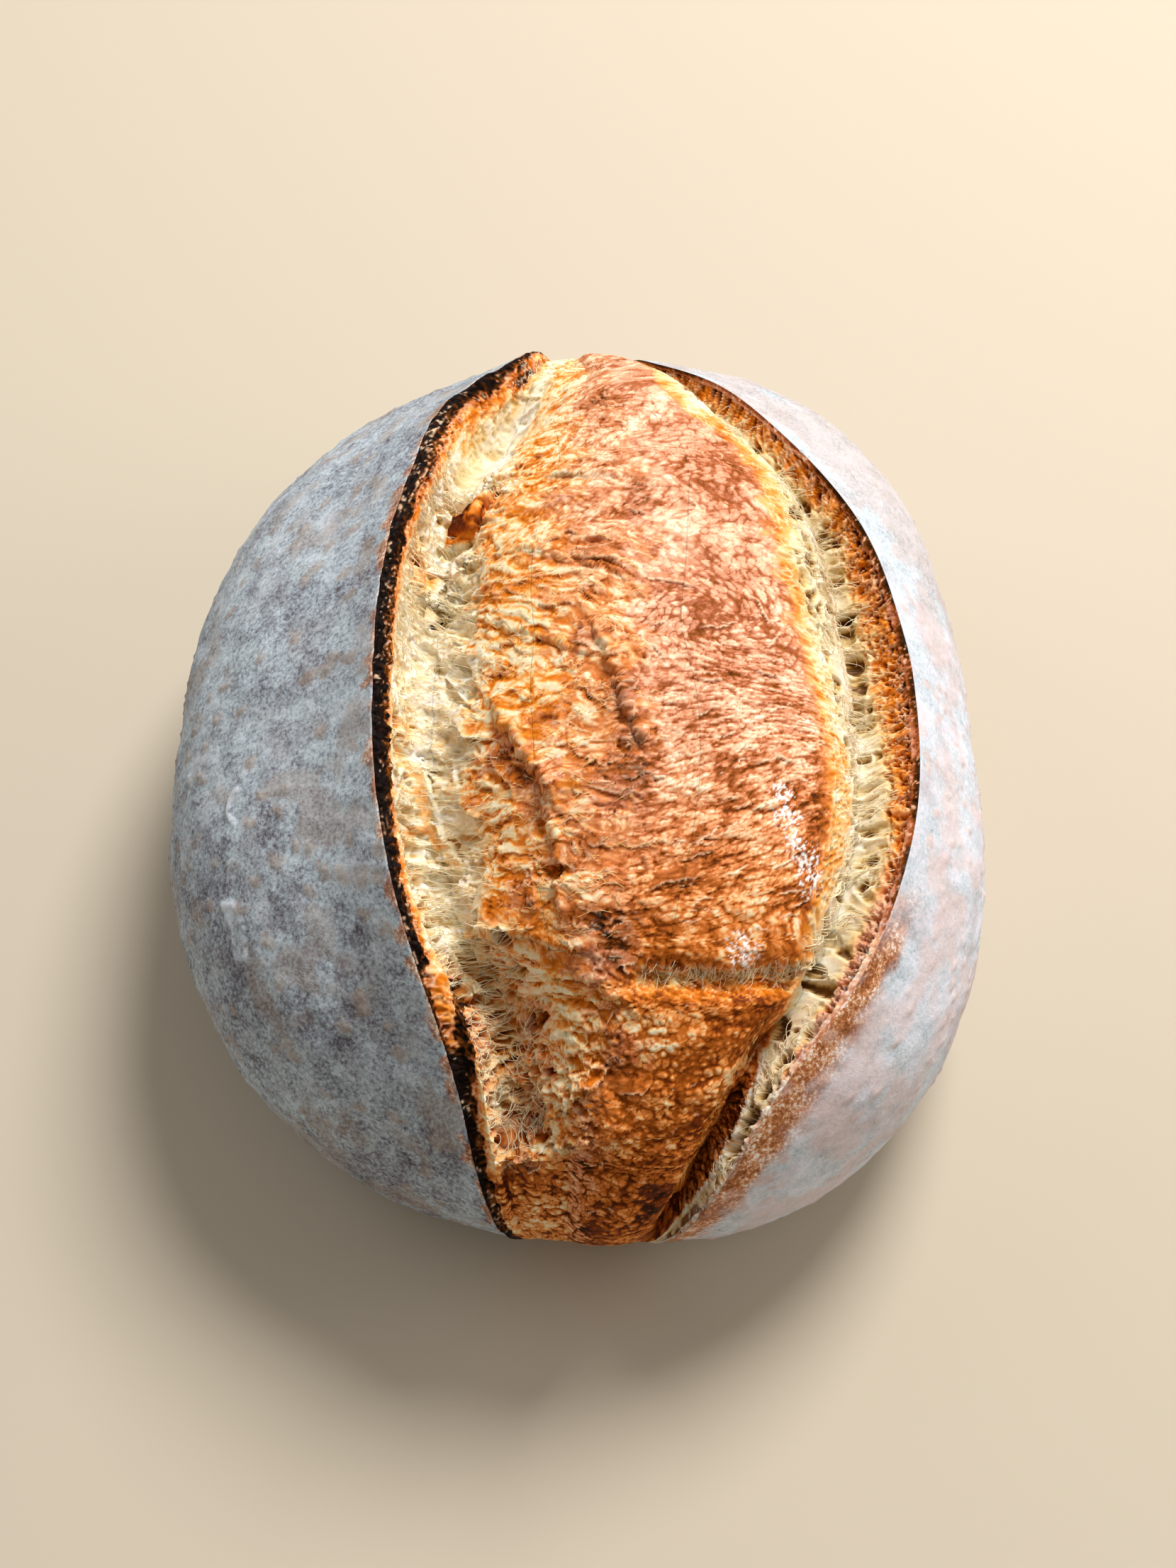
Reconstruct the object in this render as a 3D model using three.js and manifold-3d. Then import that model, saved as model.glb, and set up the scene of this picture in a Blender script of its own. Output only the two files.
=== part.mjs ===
// A sourdough loaf baked free-standing: a floured oval round that one long slash has opened end to end.
// Millimetres, +Z up. X runs across the loaf and +Y along it to its far end. The origin is on the flat
// base, under the middle of the loaf.
//
// The loaf is one closed solid. Its skin is a grid with two coordinates that run from -1 to 1:
//   side   from the left base edge, over the top, to the right base edge
//   along  from the near base edge, over the top, to the far base edge
// A smooth dome gives each grid point a place. Inside the slash the skin then leaves the dome along its
// normal, by a section from the raised ear, down its torn face into the crumb, over the risen crust, and
// up the inner wall of the right rim. Torn ledges and hollows lie on that.
import * as THREE from "three";
import { mergeVertices } from "three/addons/utils/BufferGeometryUtils.js";
import Module from "manifold-3d";

// ---- driving dimensions ----
const loafWidth = 186;
const loafLength = 218;
const domeHeight = 101; // the smooth dome, before the slash lifts the crust
const equatorHeight = 36; // where the loaf is widest
const undercut = THREE.MathUtils.degToRad(122); // how far the skin turns from the top to the base edge
const planSquareness = 2.36; // 2 is an ellipse; more fills the corners
const shoulderRoundness = 0.9; // under 1 is a fuller top
const footRoundness = 1.4; // over 1 rolls the skin under, into the base
const planLobes = [
  { waves: 3, share: -0.018, turn: 0 },
  { waves: 3, share: 0.007, turn: Math.PI / 2 },
];
// Lengths over the top: mm for one unit of side, and of along near the middle, where it is longest.
const sideLength = 190;
const alongLength = { middle: 232, cubic: -0.3, quintic: 0.09 };

// The slash's two edges: their side coordinate at these steps of along, from the near end to the far one.
const lineSteps = [-1, -0.8, -0.6, -0.45, -0.3, -0.15, 0, 0.1, 0.2, 0.3, 0.38, 0.46, 0.6, 1];
const earLine = [
  -0.12, -0.125, -0.13, -0.135, -0.163, -0.193, -0.211, -0.198, -0.171, -0.146, -0.085, -0.06, -0.05, -0.05,
];
const rimLine = [
  0.13, 0.15, 0.18, 0.218, 0.314, 0.39, 0.412, 0.386, 0.33, 0.217, 0.155, 0.085, 0.07, 0.07,
];

// The section across the slash, as a curve through these points. across is 0 at the ear's edge and 1 at the
// right rim; height is in mm over the dome. Each has three values: at the near end, in the middle, far.
const section = [
  { across: [0, 0, 0], height: [4.5, 8, 7] }, // the ear's edge
  { across: [0.03, 0.012, 0.025], height: [3.2, 7.4, 6.2] },
  { across: [0.075, 0.02, 0.05], height: [2.8, 4, 3.5] }, // foot of its charred lip
  { across: [0.1, 0.01, 0.055], height: [-1, -3, -2] }, // the torn face under it
  { across: [0.115, 0.02, 0.065], height: [-5.5, -8, -6.5] },
  { across: [0.15, 0.055, 0.1], height: [-7.5, -10, -8] }, // the deepest line of the crumb
  { across: [0.22, 0.12, 0.16], height: [-6, -7, -5.5] },
  { across: [0.3, 0.19, 0.24], height: [-2.5, -2.8, -2] }, // crumb turns to crust
  { across: [0.36, 0.29, 0.35], height: [1.5, 2.2, 1.6] },
  { across: [0.43, 0.4, 0.46], height: [3.6, 6, 4.6] }, // the crest
  { across: [0.6, 0.57, 0.62], height: [4.2, 5.6, 4.6] },
  { across: [0.77, 0.735, 0.77], height: [2, 2.2, 2.4] }, // right shoulder of the risen crust
  { across: [0.85, 0.835, 0.86], height: [-2.6, -3.2, -1.8] },
  { across: [0.92, 0.9, 0.9], height: [-8, -8, -4.5] },
  { across: [0.96, 0.945, 0.925], height: [-9.5, -10.5, -5.8] }, // the right groove
  { across: [0.975, 0.968, 0.95], height: [-6, -6.5, -3] }, // porous inner wall of the rim
  { across: [0.988, 0.988, 0.985], height: [-0.5, 0, 0.5] },
  { across: [1, 1, 1], height: [2, 2.4, 2] }, // the right rim's edge
];
const middleReach = { near: [-0.46, -0.24], far: [0.08, 0.3] }; // where the middle gives way to the ends
const earFlare = { reach: 0.17, power: 2.2 }; // how the left crust sweeps up to the ear's edge
const rimFlare = { reach: 0.1, power: 1.6 };
const slashEnds = { near: [-0.86, -0.66], far: [0.36, 0.62] }; // along, where the slash closes
const edgeFade = 0.05; // across, how soon the relief starts beside the slash's edges

// The crumb valley stops at a torn ledge near the end of the loaf. Past it the left half is closed crust.
const nearLedge = { along: -0.56, slant: 0.16, slantFrom: 0.15, width: 0.03 };
const nearCrust = { height: 1.5, to: [0.38, 0.45] };

// A tear across the risen crust, with an edge that wavers.
const crossTear = { along: -0.335, from: 0.42, to: 0.88, fade: 0.06, width: 0.016, depth: 3 };
const tearWaver = { reach: 0.008, length: 12 };

// A second, charred strip beside the ear, near its end.
const earStrip = { across: 0.09, halfWidth: 0.022, from: -0.6, to: -0.34, height: 3 };
const hollows = [
  { across: 0.1, along: 0.08, radius: 8, depth: 3 },
  { across: 0.13, along: 0.33, radius: 11, depth: 4 },
  { across: 0.12, along: -0.2, radius: 7, depth: 2.5 },
  { across: 0.2, along: -0.4, radius: 9, depth: 2 },
  { across: 0.93, along: -0.42, radius: 6, depth: 4 },
];

// Torn edges that stand up from the risen crust, each steep on its near side and running out on its far
// side. from and to are [across, along].
const ledges = [
  { from: [0.2, -0.08], to: [0.27, -0.16], height: 3.2, run: 8 },
  { from: [0.27, -0.16], to: [0.3, -0.27], height: 2.6, run: 7 },
  { from: [0.15, -0.29], to: [0.32, -0.31], height: 2.8, run: 13 },
  { from: [0.33, -0.33], to: [0.44, -0.36], height: 2, run: 8 },
  { from: [0.13, 0.17], to: [0.15, 0.21], height: 4.5, run: 6 },
  { from: [0.06, 0.07], to: [0.11, 0.11], height: 3, run: 5 },
  { from: [0.19, 0.02], to: [0.33, -0.03], height: 1, run: 8 },
  { from: [0.24, 0.1], to: [0.38, 0.05], height: 0.9, run: 7 },
  { from: [0.3, 0.19], to: [0.46, 0.15], height: 0.9, run: 7 },
  { from: [0.36, -0.02], to: [0.41, -0.11], height: 2.2, run: 6 },
  { from: [0.3, -0.5], to: [0.4, -0.46], height: 2, run: 6 },
  { from: [0.16, -0.57], to: [0.5, -0.51], height: 2.2, run: 6 },
];
const ledgeFace = { foot: -2.5, top: 0.5, ends: 4 }; // mm, where the steep side starts and stops

// The unevenness between them, and the parts of the slash it lies on, from and to in across.
const crags = { height: 1.3, length: 8, width: 14 };
const smallCrags = { height: 0.78, length: 5, width: 7 };
const tornPart = { from: [0.14, 0.24], to: [0.42, 0.52] };
const risenPart = { from: [0.42, 0.52], to: [0.72, 0.82] };
const risenShare = 0.3; // the risen crust is smoother

// The soft unevenness of the floured crust, which starts beside the slash and stops before the base.
const swells = { height: 0.9, size: 30, start: 0.1, calmFrom: 0.8 };

// How finely the skin is faceted.
const leftColumns = 15;
const rightColumns = 13;
const stepsPerSection = 2; // columns from one point of the section to the next
const endRows = 10; // on each end
const topRows = 62;
const topFrom = -0.72;
const topTo = 0.62;
const endCrowding = 0.1; // columns lie closer together at both ends of a side
const normalStep = 1e-3;
const weldDistance = 1e-4;

// ---- small helpers ----
const clamp = (x, low, high) => Math.min(high, Math.max(low, x));
const mix = (a, b, f) => a + (b - a) * f;

function smoothStep(low, high, x) {
  const f = clamp((x - low) / (high - low), 0, 1);
  return f * f * (3 - 2 * f);
}

// A smooth curve through the points (xs[i], ys[i]).
function curveAt(xs, ys, x) {
  const last = xs.length - 1;
  let i = 0;
  while (i < last - 1 && x > xs[i + 1]) i++;
  const slope = (k) => {
    const a = Math.max(k - 1, 0);
    const b = Math.min(k + 1, last);
    return (ys[b] - ys[a]) / (xs[b] - xs[a]);
  };
  const h = xs[i + 1] - xs[i];
  const f = clamp((x - xs[i]) / h, 0, 1);
  const f2 = f * f;
  const f3 = f2 * f;
  return (
    (2 * f3 - 3 * f2 + 1) * ys[i] +
    (f3 - 2 * f2 + f) * h * slope(i) +
    (3 * f2 - 2 * f3) * ys[i + 1] +
    (f3 - f2) * h * slope(i + 1)
  );
}

const earAt = (along) => curveAt(lineSteps, earLine, along);
const rimAt = (along) => curveAt(lineSteps, rimLine, along);

// Smooth random bumps between -1 and 1, the same every time.
function bumps(x, y, seed) {
  const corner = (i, j) => {
    const v = Math.sin(i * 127.1 + j * 311.7 + seed * 74.7) * 43758.5453;
    return 2 * (v - Math.floor(v)) - 1;
  };
  const i = Math.floor(x);
  const j = Math.floor(y);
  const fx = smoothStep(0, 1, x - i);
  const fy = smoothStep(0, 1, y - j);
  const near = mix(corner(i, j), corner(i + 1, j), fx);
  const far = mix(corner(i, j + 1), corner(i + 1, j + 1), fx);
  return mix(near, far, fy);
}

// ---- the dome ----
function planRadius(turn) {
  const c = Math.abs(Math.cos(turn)) / (loafWidth / 2);
  const s = Math.abs(Math.sin(turn)) / (loafLength / 2);
  const r = (c ** planSquareness + s ** planSquareness) ** (-1 / planSquareness);
  return planLobes.reduce((sum, l) => sum * (1 + l.share * Math.cos(l.waves * (turn - l.turn))), r);
}

function domePoint(side, along) {
  // The square grid becomes a disc, so that its lines run from base edge to base edge and never meet.
  const x = side * Math.sqrt(1 - (along * along) / 2);
  const y = along * Math.sqrt(1 - (side * side) / 2);
  const turn = Math.atan2(y, x);
  const angle = undercut * Math.hypot(x, y);
  const r = planRadius(turn) * Math.sin(angle);
  const c = Math.cos(angle);
  const z =
    c > 0
      ? equatorHeight + (domeHeight - equatorHeight) * c ** shoulderRoundness
      : equatorHeight * Math.max(0, 1 - c / Math.cos(undercut)) ** footRoundness;
  return new THREE.Vector3(r * Math.cos(turn), r * Math.sin(turn), z);
}

function domeNormal(side, along) {
  const left = domePoint(Math.max(side - normalStep, -1), along);
  const right = domePoint(Math.min(side + normalStep, 1), along);
  const near = domePoint(side, Math.max(along - normalStep, -1));
  const far = domePoint(side, Math.min(along + normalStep, 1));
  return right.sub(left).cross(far.sub(near)).normalize();
}

// Distances over the top in mm, which the relief is measured in.
const acrossMm = (side) => sideLength * side;

function alongMm(along) {
  const { middle, cubic, quintic } = alongLength;
  return middle * (along + cubic * along ** 3 + quintic * along ** 5);
}

// ---- the slash ----
const sideOf = (across, along) => mix(earAt(along), rimAt(along), across);

// 1 in the middle of the slash and 0 past its ends.
function slashOpen(along) {
  return smoothStep(...slashEnds.near, along) * (1 - smoothStep(...slashEnds.far, along));
}

// The section's curve, where step counts its points: how far across, and how high.
function sectionAt(step, along) {
  const nearShare = 1 - smoothStep(...middleReach.near, along);
  const farShare = smoothStep(...middleReach.far, along);
  const middleShare = 1 - nearShare - farShare;
  const blend = ([near, middle, far]) => near * nearShare + middle * middleShare + far * farShare;
  const steps = section.map((_, i) => i);
  return {
    across: curveAt(steps, section.map((p) => blend(p.across)), step),
    height: curveAt(steps, section.map((p) => blend(p.height)), step),
  };
}

// How high a torn ledge stands at a place in mm.
function ledgeHeight({ from, to, height, run }, x, y) {
  const [x0, y0] = [acrossMm(sideOf(...from)), alongMm(from[1])];
  const [x1, y1] = [acrossMm(sideOf(...to)), alongMm(to[1])];
  const length = Math.hypot(x1 - x0, y1 - y0);
  const [ux, uy] = [(x1 - x0) / length, (y1 - y0) / length];
  const lengthwise = ((x - x0) * ux + (y - y0) * uy) / length;
  const beyond = Math.max(0, -lengthwise, lengthwise - 1) * length;
  const uphill = (y - y0) * ux - (x - x0) * uy; // mm to the far side of the torn edge
  const rise = smoothStep(ledgeFace.foot, ledgeFace.top, uphill) * Math.exp(-Math.max(0, uphill) / run);
  return height * rise * Math.exp(-((beyond / ledgeFace.ends) ** 2));
}

// 1 in a part of the slash, 0 outside it.
function within(part, across) {
  return smoothStep(...part.from, across) * (1 - smoothStep(...part.to, across));
}

function reliefInSlash(step, along) {
  const { across, height: smooth } = sectionAt(step, along);
  const side = sideOf(across, along);
  const x = acrossMm(side);
  const y = alongMm(along);
  let height = smooth;
  let extra = 0; // what stands off the section, which dies out at both edges
  const inside = smoothStep(0, edgeFade, across) * smoothStep(0, edgeFade, 1 - across);

  const ledgeAlong = nearLedge.along + nearLedge.slant * Math.max(0, across - nearLedge.slantFrom);
  const closed = 1 - smoothStep(ledgeAlong - nearLedge.width, ledgeAlong + nearLedge.width, along);
  const leftHalf = 1 - smoothStep(...nearCrust.to, across);
  if (height < nearCrust.height) height = mix(height, nearCrust.height, closed * leftHalf);

  const torn = within(tornPart, across);
  const risen = within(risenPart, across);
  extra += crags.height * (torn + risenShare * risen) * bumps(x / crags.width, y / crags.length, 3);
  extra += smallCrags.height * torn * bumps(x / smallCrags.width, y / smallCrags.length, 8);
  for (const ledge of ledges) extra += ledgeHeight(ledge, x, y);

  const tearPart = {
    from: [crossTear.from, crossTear.from + crossTear.fade],
    to: [crossTear.to - crossTear.fade, crossTear.to],
  };
  const tearAlong = crossTear.along + tearWaver.reach * bumps(x / tearWaver.length, 0.5, 5);
  const tearShape = Math.exp(-(((along - tearAlong) / crossTear.width) ** 2));
  extra -= crossTear.depth * within(tearPart, across) * tearShape;

  for (const h of hollows) {
    const dx = (x - acrossMm(sideOf(h.across, h.along))) / h.radius;
    const dy = (y - alongMm(h.along)) / h.radius;
    extra -= h.depth * Math.exp(-dx * dx - dy * dy);
  }

  const stripStart = smoothStep(earStrip.from, earStrip.from + 0.06, along);
  const stripStop = 1 - smoothStep(earStrip.to - 0.03, earStrip.to, along);
  const stripShape = Math.exp(-(((across - earStrip.across) / earStrip.halfWidth) ** 2));
  extra += earStrip.height * stripStart * stripStop * stripShape;
  return { side, height: (height + extra * inside) * slashOpen(along) };
}

// ---- the floured crust on each side ----
function reliefOnCrust(side, along) {
  const ear = earAt(along);
  const rim = rimAt(along);
  const left = side < 0;
  const away = left ? ear - side : side - rim;
  const { reach, power } = left ? earFlare : rimFlare;
  const edgeHeight = sectionAt(left ? 0 : section.length - 1, along).height;
  const edge = edgeHeight * Math.max(0, 1 - away / reach) ** power * slashOpen(along);
  const swell = swells.height * bumps(acrossMm(side) / swells.size, alongMm(along) / swells.size, 1);
  const baseward = Math.max(Math.abs(side), Math.abs(along));
  const calm = 1 - smoothStep(swells.calmFrom, 1, baseward);
  return edge + swell * calm * smoothStep(0, swells.start, away);
}

// ---- the skin as a grid ----
const slashColumns = stepsPerSection * (section.length - 1);
const columnCount = leftColumns + slashColumns + rightColumns;
const evenOut = (f) => f - endCrowding * Math.sin(2 * Math.PI * f);
const rows = [
  ...Array.from({ length: endRows }, (_, i) => mix(-1, topFrom, i / endRows)),
  ...Array.from({ length: topRows + 1 }, (_, i) => mix(topFrom, topTo, i / topRows)),
  ...Array.from({ length: endRows }, (_, i) => mix(topTo, 1, (i + 1) / endRows)),
];

function skinPoint(column, along) {
  let side;
  let height;
  if (column < leftColumns) {
    side = mix(-1, earAt(along), evenOut(column / leftColumns));
    height = reliefOnCrust(side, along);
  } else if (column > leftColumns + slashColumns) {
    side = mix(rimAt(along), 1, evenOut((column - leftColumns - slashColumns) / rightColumns));
    height = reliefOnCrust(side, along);
  } else {
    const step = (column - leftColumns) / stepsPerSection;
    ({ side, height } = reliefInSlash(step, along));
  }
  const onEdge = Math.abs(side) === 1 || Math.abs(along) === 1;
  if (onEdge) return domePoint(side, along);
  return domePoint(side, along).addScaledVector(domeNormal(side, along), height);
}

// A flat plane bent into the skin, with its border drawn together under the loaf as the flat base.
function skinGeometry() {
  const plane = new THREE.PlaneGeometry(2, 2, columnCount, rows.length - 1);
  const across = columnCount + 1;
  const lastRow = rows.length - 1;
  const points = plane.getAttribute("position");
  rows.forEach((along, r) => {
    for (let c = 0; c < across; c++) {
      // the plane's rows run from far to near
      points.setXYZ((lastRow - r) * across + c, ...skinPoint(c, along));
    }
  });
  const border = [];
  for (let c = 0; c < columnCount; c++) border.push(c);
  for (let r = 0; r < lastRow; r++) border.push(r * across + columnCount);
  for (let c = columnCount; c > 0; c--) border.push(lastRow * across + c);
  for (let r = lastRow; r > 0; r--) border.push(r * across);

  const vertices = [...points.array, 0, 0, 0];
  const middle = points.count;
  const faces = [...plane.getIndex().array];
  border.forEach((v, i) => faces.push(v, border[(i + 1) % border.length], middle));
  const closed = new THREE.BufferGeometry();
  closed.setAttribute("position", new THREE.Float32BufferAttribute(vertices, 3));
  closed.setIndex(faces);
  return closed;
}

// ---- one solid ----
const wasm = await Module();
wasm.setup();

function solidFrom(geometry) {
  const merged = mergeVertices(geometry, weldDistance);
  return new wasm.Manifold(
    new wasm.Mesh({
      numProp: 3,
      vertProperties: merged.getAttribute("position").array,
      triVerts: new Uint32Array(merged.getIndex().array),
    }),
  );
}

function geometryFrom(solid) {
  const { vertProperties, triVerts } = solid.getMesh();
  const geometry = new THREE.BufferGeometry();
  geometry.setAttribute("position", new THREE.BufferAttribute(vertProperties, 3));
  geometry.setIndex(new THREE.BufferAttribute(triVerts, 1));
  return geometry;
}

const loafGeometry = geometryFrom(solidFrom(skinGeometry()));
loafGeometry.computeBoundingBox();
const centre = loafGeometry.boundingBox.getCenter(new THREE.Vector3());
loafGeometry.translate(-centre.x, -centre.y, 0);
loafGeometry.computeVertexNormals();

const crust = new THREE.MeshStandardMaterial({ color: 0xc98a52, roughness: 0.85, metalness: 0 });
const loaf = new THREE.Mesh(loafGeometry, crust);
loaf.name = "sourdough_loaf";

const group = new THREE.Group();
group.add(loaf);
export default group;
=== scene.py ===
# A sourdough loaf with one long slash: floured crust on both sides, a charred ear on the left, torn crumb
# under it, risen crust in the middle and a second groove on the right.
# The loaf's form repeats the dimensions of the solid, in mm, and is turned to metres when a mesh is made.
import bpy
import bmesh
import numpy as np
from math import radians, cos, sin, pi
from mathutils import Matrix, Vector


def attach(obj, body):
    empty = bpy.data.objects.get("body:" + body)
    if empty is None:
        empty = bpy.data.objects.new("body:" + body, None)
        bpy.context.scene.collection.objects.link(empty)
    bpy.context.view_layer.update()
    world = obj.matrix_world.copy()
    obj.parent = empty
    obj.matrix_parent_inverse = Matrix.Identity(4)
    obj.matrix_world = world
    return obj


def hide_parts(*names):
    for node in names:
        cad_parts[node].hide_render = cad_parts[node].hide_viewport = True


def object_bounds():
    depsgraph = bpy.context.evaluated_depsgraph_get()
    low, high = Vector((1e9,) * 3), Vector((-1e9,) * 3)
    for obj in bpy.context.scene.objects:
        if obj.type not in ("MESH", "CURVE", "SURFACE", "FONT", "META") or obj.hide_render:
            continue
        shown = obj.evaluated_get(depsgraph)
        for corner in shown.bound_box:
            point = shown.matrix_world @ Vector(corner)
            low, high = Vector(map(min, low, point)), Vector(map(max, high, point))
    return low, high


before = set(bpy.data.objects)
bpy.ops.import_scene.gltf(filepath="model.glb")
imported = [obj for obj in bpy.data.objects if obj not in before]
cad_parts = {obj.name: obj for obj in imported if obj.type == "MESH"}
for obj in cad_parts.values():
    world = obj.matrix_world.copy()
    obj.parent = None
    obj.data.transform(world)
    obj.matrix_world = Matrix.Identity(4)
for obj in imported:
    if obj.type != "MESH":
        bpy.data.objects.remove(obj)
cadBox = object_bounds()
print("frame loaded", [[round(v, 4) for v in corner] for corner in cadBox])

dome = {
    "width": 186,
    "length": 218,
    "height": 101,
    "equator": 36,  # where the loaf is widest
    "undercut": radians(122),  # how far the skin turns from the top to the base edge
    "squareness": 2.36,  # 2 is an ellipse
    "shoulder": 0.9,
    "foot": 1.4,
    "lobes": [(3, -0.018, 0), (3, 0.007, pi / 2)],  # waves round the plan, share of the radius, turn
    "spans": (190, 232),  # mm over the skin for one unit of side and of along
}

slash = {
    # along, then the side coordinates of the ear's edge and of the rim's edge there
    "edges": [
        (-1, -0.12, 0.13), (-0.8, -0.125, 0.15), (-0.6, -0.13, 0.18), (-0.45, -0.135, 0.218),
        (-0.3, -0.163, 0.314), (-0.15, -0.193, 0.39), (0, -0.211, 0.412), (0.1, -0.198, 0.386),
        (0.2, -0.171, 0.33), (0.3, -0.146, 0.217), (0.38, -0.085, 0.155), (0.46, -0.06, 0.085),
        (0.6, -0.05, 0.07), (1, -0.05, 0.07),
    ],
    "open": (-0.86, -0.66, 0.36, 0.62),  # along values between which it opens and closes
    "middle": (-0.46, -0.24, 0.08, 0.3),  # where the middle of the section replaces its end forms
    # across (0 ear, 1 rim) and height over the dome, each at the near end, in the middle and at the far end
    "section": [
        ((0, 0, 0), (4.5, 8, 7)),  # 0 the ear's edge
        ((0.03, 0.012, 0.025), (3.2, 7.4, 6.2)),
        ((0.075, 0.02, 0.05), (2.8, 4, 3.5)),  # 2 foot of its charred lip
        ((0.1, 0.01, 0.055), (-1, -3, -2)),
        ((0.115, 0.02, 0.065), (-5.5, -8, -6.5)),
        ((0.15, 0.055, 0.1), (-7.5, -10, -8)),  # 5 the deepest line of the crumb
        ((0.22, 0.12, 0.16), (-6, -7, -5.5)),
        ((0.3, 0.19, 0.24), (-2.5, -2.8, -2)),  # 7 crumb turns to crust
        ((0.36, 0.29, 0.35), (1.5, 2.2, 1.6)),
        ((0.43, 0.4, 0.46), (3.6, 6, 4.6)),  # 9 the crest
        ((0.6, 0.57, 0.62), (4.2, 5.6, 4.6)),
        ((0.77, 0.735, 0.77), (2, 2.2, 2.4)),  # 11 right shoulder of the risen crust
        ((0.85, 0.835, 0.86), (-2.6, -3.2, -1.8)),
        ((0.92, 0.9, 0.9), (-8, -8, -4.5)),
        ((0.96, 0.945, 0.925), (-9.5, -10.5, -5.8)),  # 14 the right groove
        ((0.975, 0.968, 0.95), (-6, -6.5, -3)),
        ((0.988, 0.988, 0.985), (-0.5, 0, 0.5)),
        ((1, 1, 1), (2, 2.4, 2)),  # 17 the rim's edge
    ],
    "nearLedge": (-0.56, 0.16, 0.03),  # along, slant, width
    "crossTear": {"along": -0.335, "from": 0.42, "to": 0.88, "fade": 0.06, "width": 0.016, "depth": 3, "lips": 34},
    "earStrip": {"across": 0.09, "half": 0.022, "span": (-0.6, -0.54, -0.36, -0.34), "height": 3},
    # across, along, radius, depth
    "hollows": [(0.1, 0.08, 8, 3), (0.13, 0.33, 11, 4), (0.12, -0.2, 7, 2.5), (0.2, -0.4, 9, 2), (0.93, -0.42, 6, 4)],
    # torn edges, each from and to an (across, along) place, with its height and how far it runs out
    "ledges": [
        ((0.2, -0.08), (0.27, -0.16), 3.2, 8),
        ((0.27, -0.16), (0.3, -0.27), 2.6, 7),
        ((0.15, -0.29), (0.32, -0.31), 2.8, 13),
        ((0.33, -0.33), (0.44, -0.36), 2, 8),
        ((0.13, 0.17), (0.15, 0.21), 4.5, 6),
        ((0.06, 0.07), (0.11, 0.11), 3, 5),
        ((0.19, 0.02), (0.33, -0.03), 1, 8),
        ((0.24, 0.1), (0.38, 0.05), 0.9, 7),
        ((0.3, 0.19), (0.46, 0.15), 0.9, 7),
        ((0.36, -0.02), (0.41, -0.11), 2.2, 6),
        ((0.3, -0.5), (0.4, -0.46), 2, 6),
        ((0.16, -0.57), (0.5, -0.51), 2.2, 6),
    ],
}


def smoothStep(low, high, x):
    f = np.clip((x - low) / (high - low), 0, 1)
    return f * f * (3 - 2 * f)


def between(x, start, full, fade, end):
    return smoothStep(start, full, x) * (1 - smoothStep(fade, end, x))


def bell(x):
    return np.exp(-(x**2))


def mix(a, b, f):
    return a + (b - a) * f


def hermite(f, start, end, startSlope, endSlope):
    f2, f3 = f * f, f * f * f
    ends = (2 * f3 - 3 * f2 + 1) * start + (3 * f2 - 2 * f3) * end
    return ends + (f3 - 2 * f2 + f) * startSlope + (f3 - f2) * endSlope


def edgeAt(which, along):
    # side coordinate of the ear's (0) or the rim's (1) edge, on a smooth curve
    xs, ys = np.array([(e[0], e[which + 1]) for e in slash["edges"]], float).T
    last = len(xs) - 1
    before, after = np.maximum(np.arange(last + 1) - 1, 0), np.minimum(np.arange(last + 1) + 1, last)
    slope = (ys[after] - ys[before]) / (xs[after] - xs[before])
    i = np.clip(np.searchsorted(xs, along, side="right") - 1, 0, last - 1)
    h = xs[i + 1] - xs[i]
    f = np.clip((along - xs[i]) / h, 0, 1)
    return hermite(f, ys[i], ys[i + 1], slope[i] * h, slope[i + 1] * h)


def domePoint(side, along):
    x = side * np.sqrt(1 - along * along / 2)
    y = along * np.sqrt(1 - side * side / 2)
    turn = np.arctan2(y, x)
    angle = dome["undercut"] * np.hypot(x, y)
    n = dome["squareness"]
    plan = (np.abs(np.cos(turn)) * 2 / dome["width"]) ** n + (np.abs(np.sin(turn)) * 2 / dome["length"]) ** n
    plan = plan ** (-1 / n)
    for waves, share, start in dome["lobes"]:
        plan = plan * (1 + share * np.cos(waves * (turn - start)))
    r, c = plan * np.sin(angle), np.cos(angle)
    top = dome["equator"] + (dome["height"] - dome["equator"]) * np.abs(c) ** dome["shoulder"]
    below = dome["equator"] * np.maximum(0, 1 - c / cos(dome["undercut"])) ** dome["foot"]
    return np.stack([r * np.cos(turn), r * np.sin(turn), np.where(c > 0, top, below)], -1)


def domeNormal(side, along):
    step = 1e-3
    across = domePoint(np.minimum(side + step, 1), along) - domePoint(np.maximum(side - step, -1), along)
    up = domePoint(side, np.minimum(along + step, 1)) - domePoint(side, np.maximum(along - step, -1))
    normal = np.cross(across, up)
    return normal / np.linalg.norm(normal, axis=-1, keepdims=True)


def acrossMm(side):
    return dome["spans"][0] * side


def alongMm(along):
    return dome["spans"][1] * (along - 0.3 * along**3 + 0.09 * along**5)


def sectionAt(steps, alongs):
    # across and height for every along (rows) and every step of the section (columns)
    near = 1 - smoothStep(*slash["middle"][:2], alongs)
    far = smoothStep(*slash["middle"][2:], alongs)
    shares = np.stack([near, 1 - near - far, far], -1)
    i = np.clip(np.floor(steps).astype(int), 0, len(slash["section"]) - 2)
    result = []
    for which in (0, 1):
        values = shares @ np.array([point[which] for point in slash["section"]], float).T
        slopes = np.gradient(values, axis=1)
        result.append(hermite(steps - i, values[:, i], values[:, i + 1], slopes[:, i], slopes[:, i + 1]))
    return result


rng = np.random.default_rng(41)
lattice = rng.uniform(-1, 1, (256, 256))
jitter = rng.uniform(0, 1, (3, 256, 256))


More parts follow.
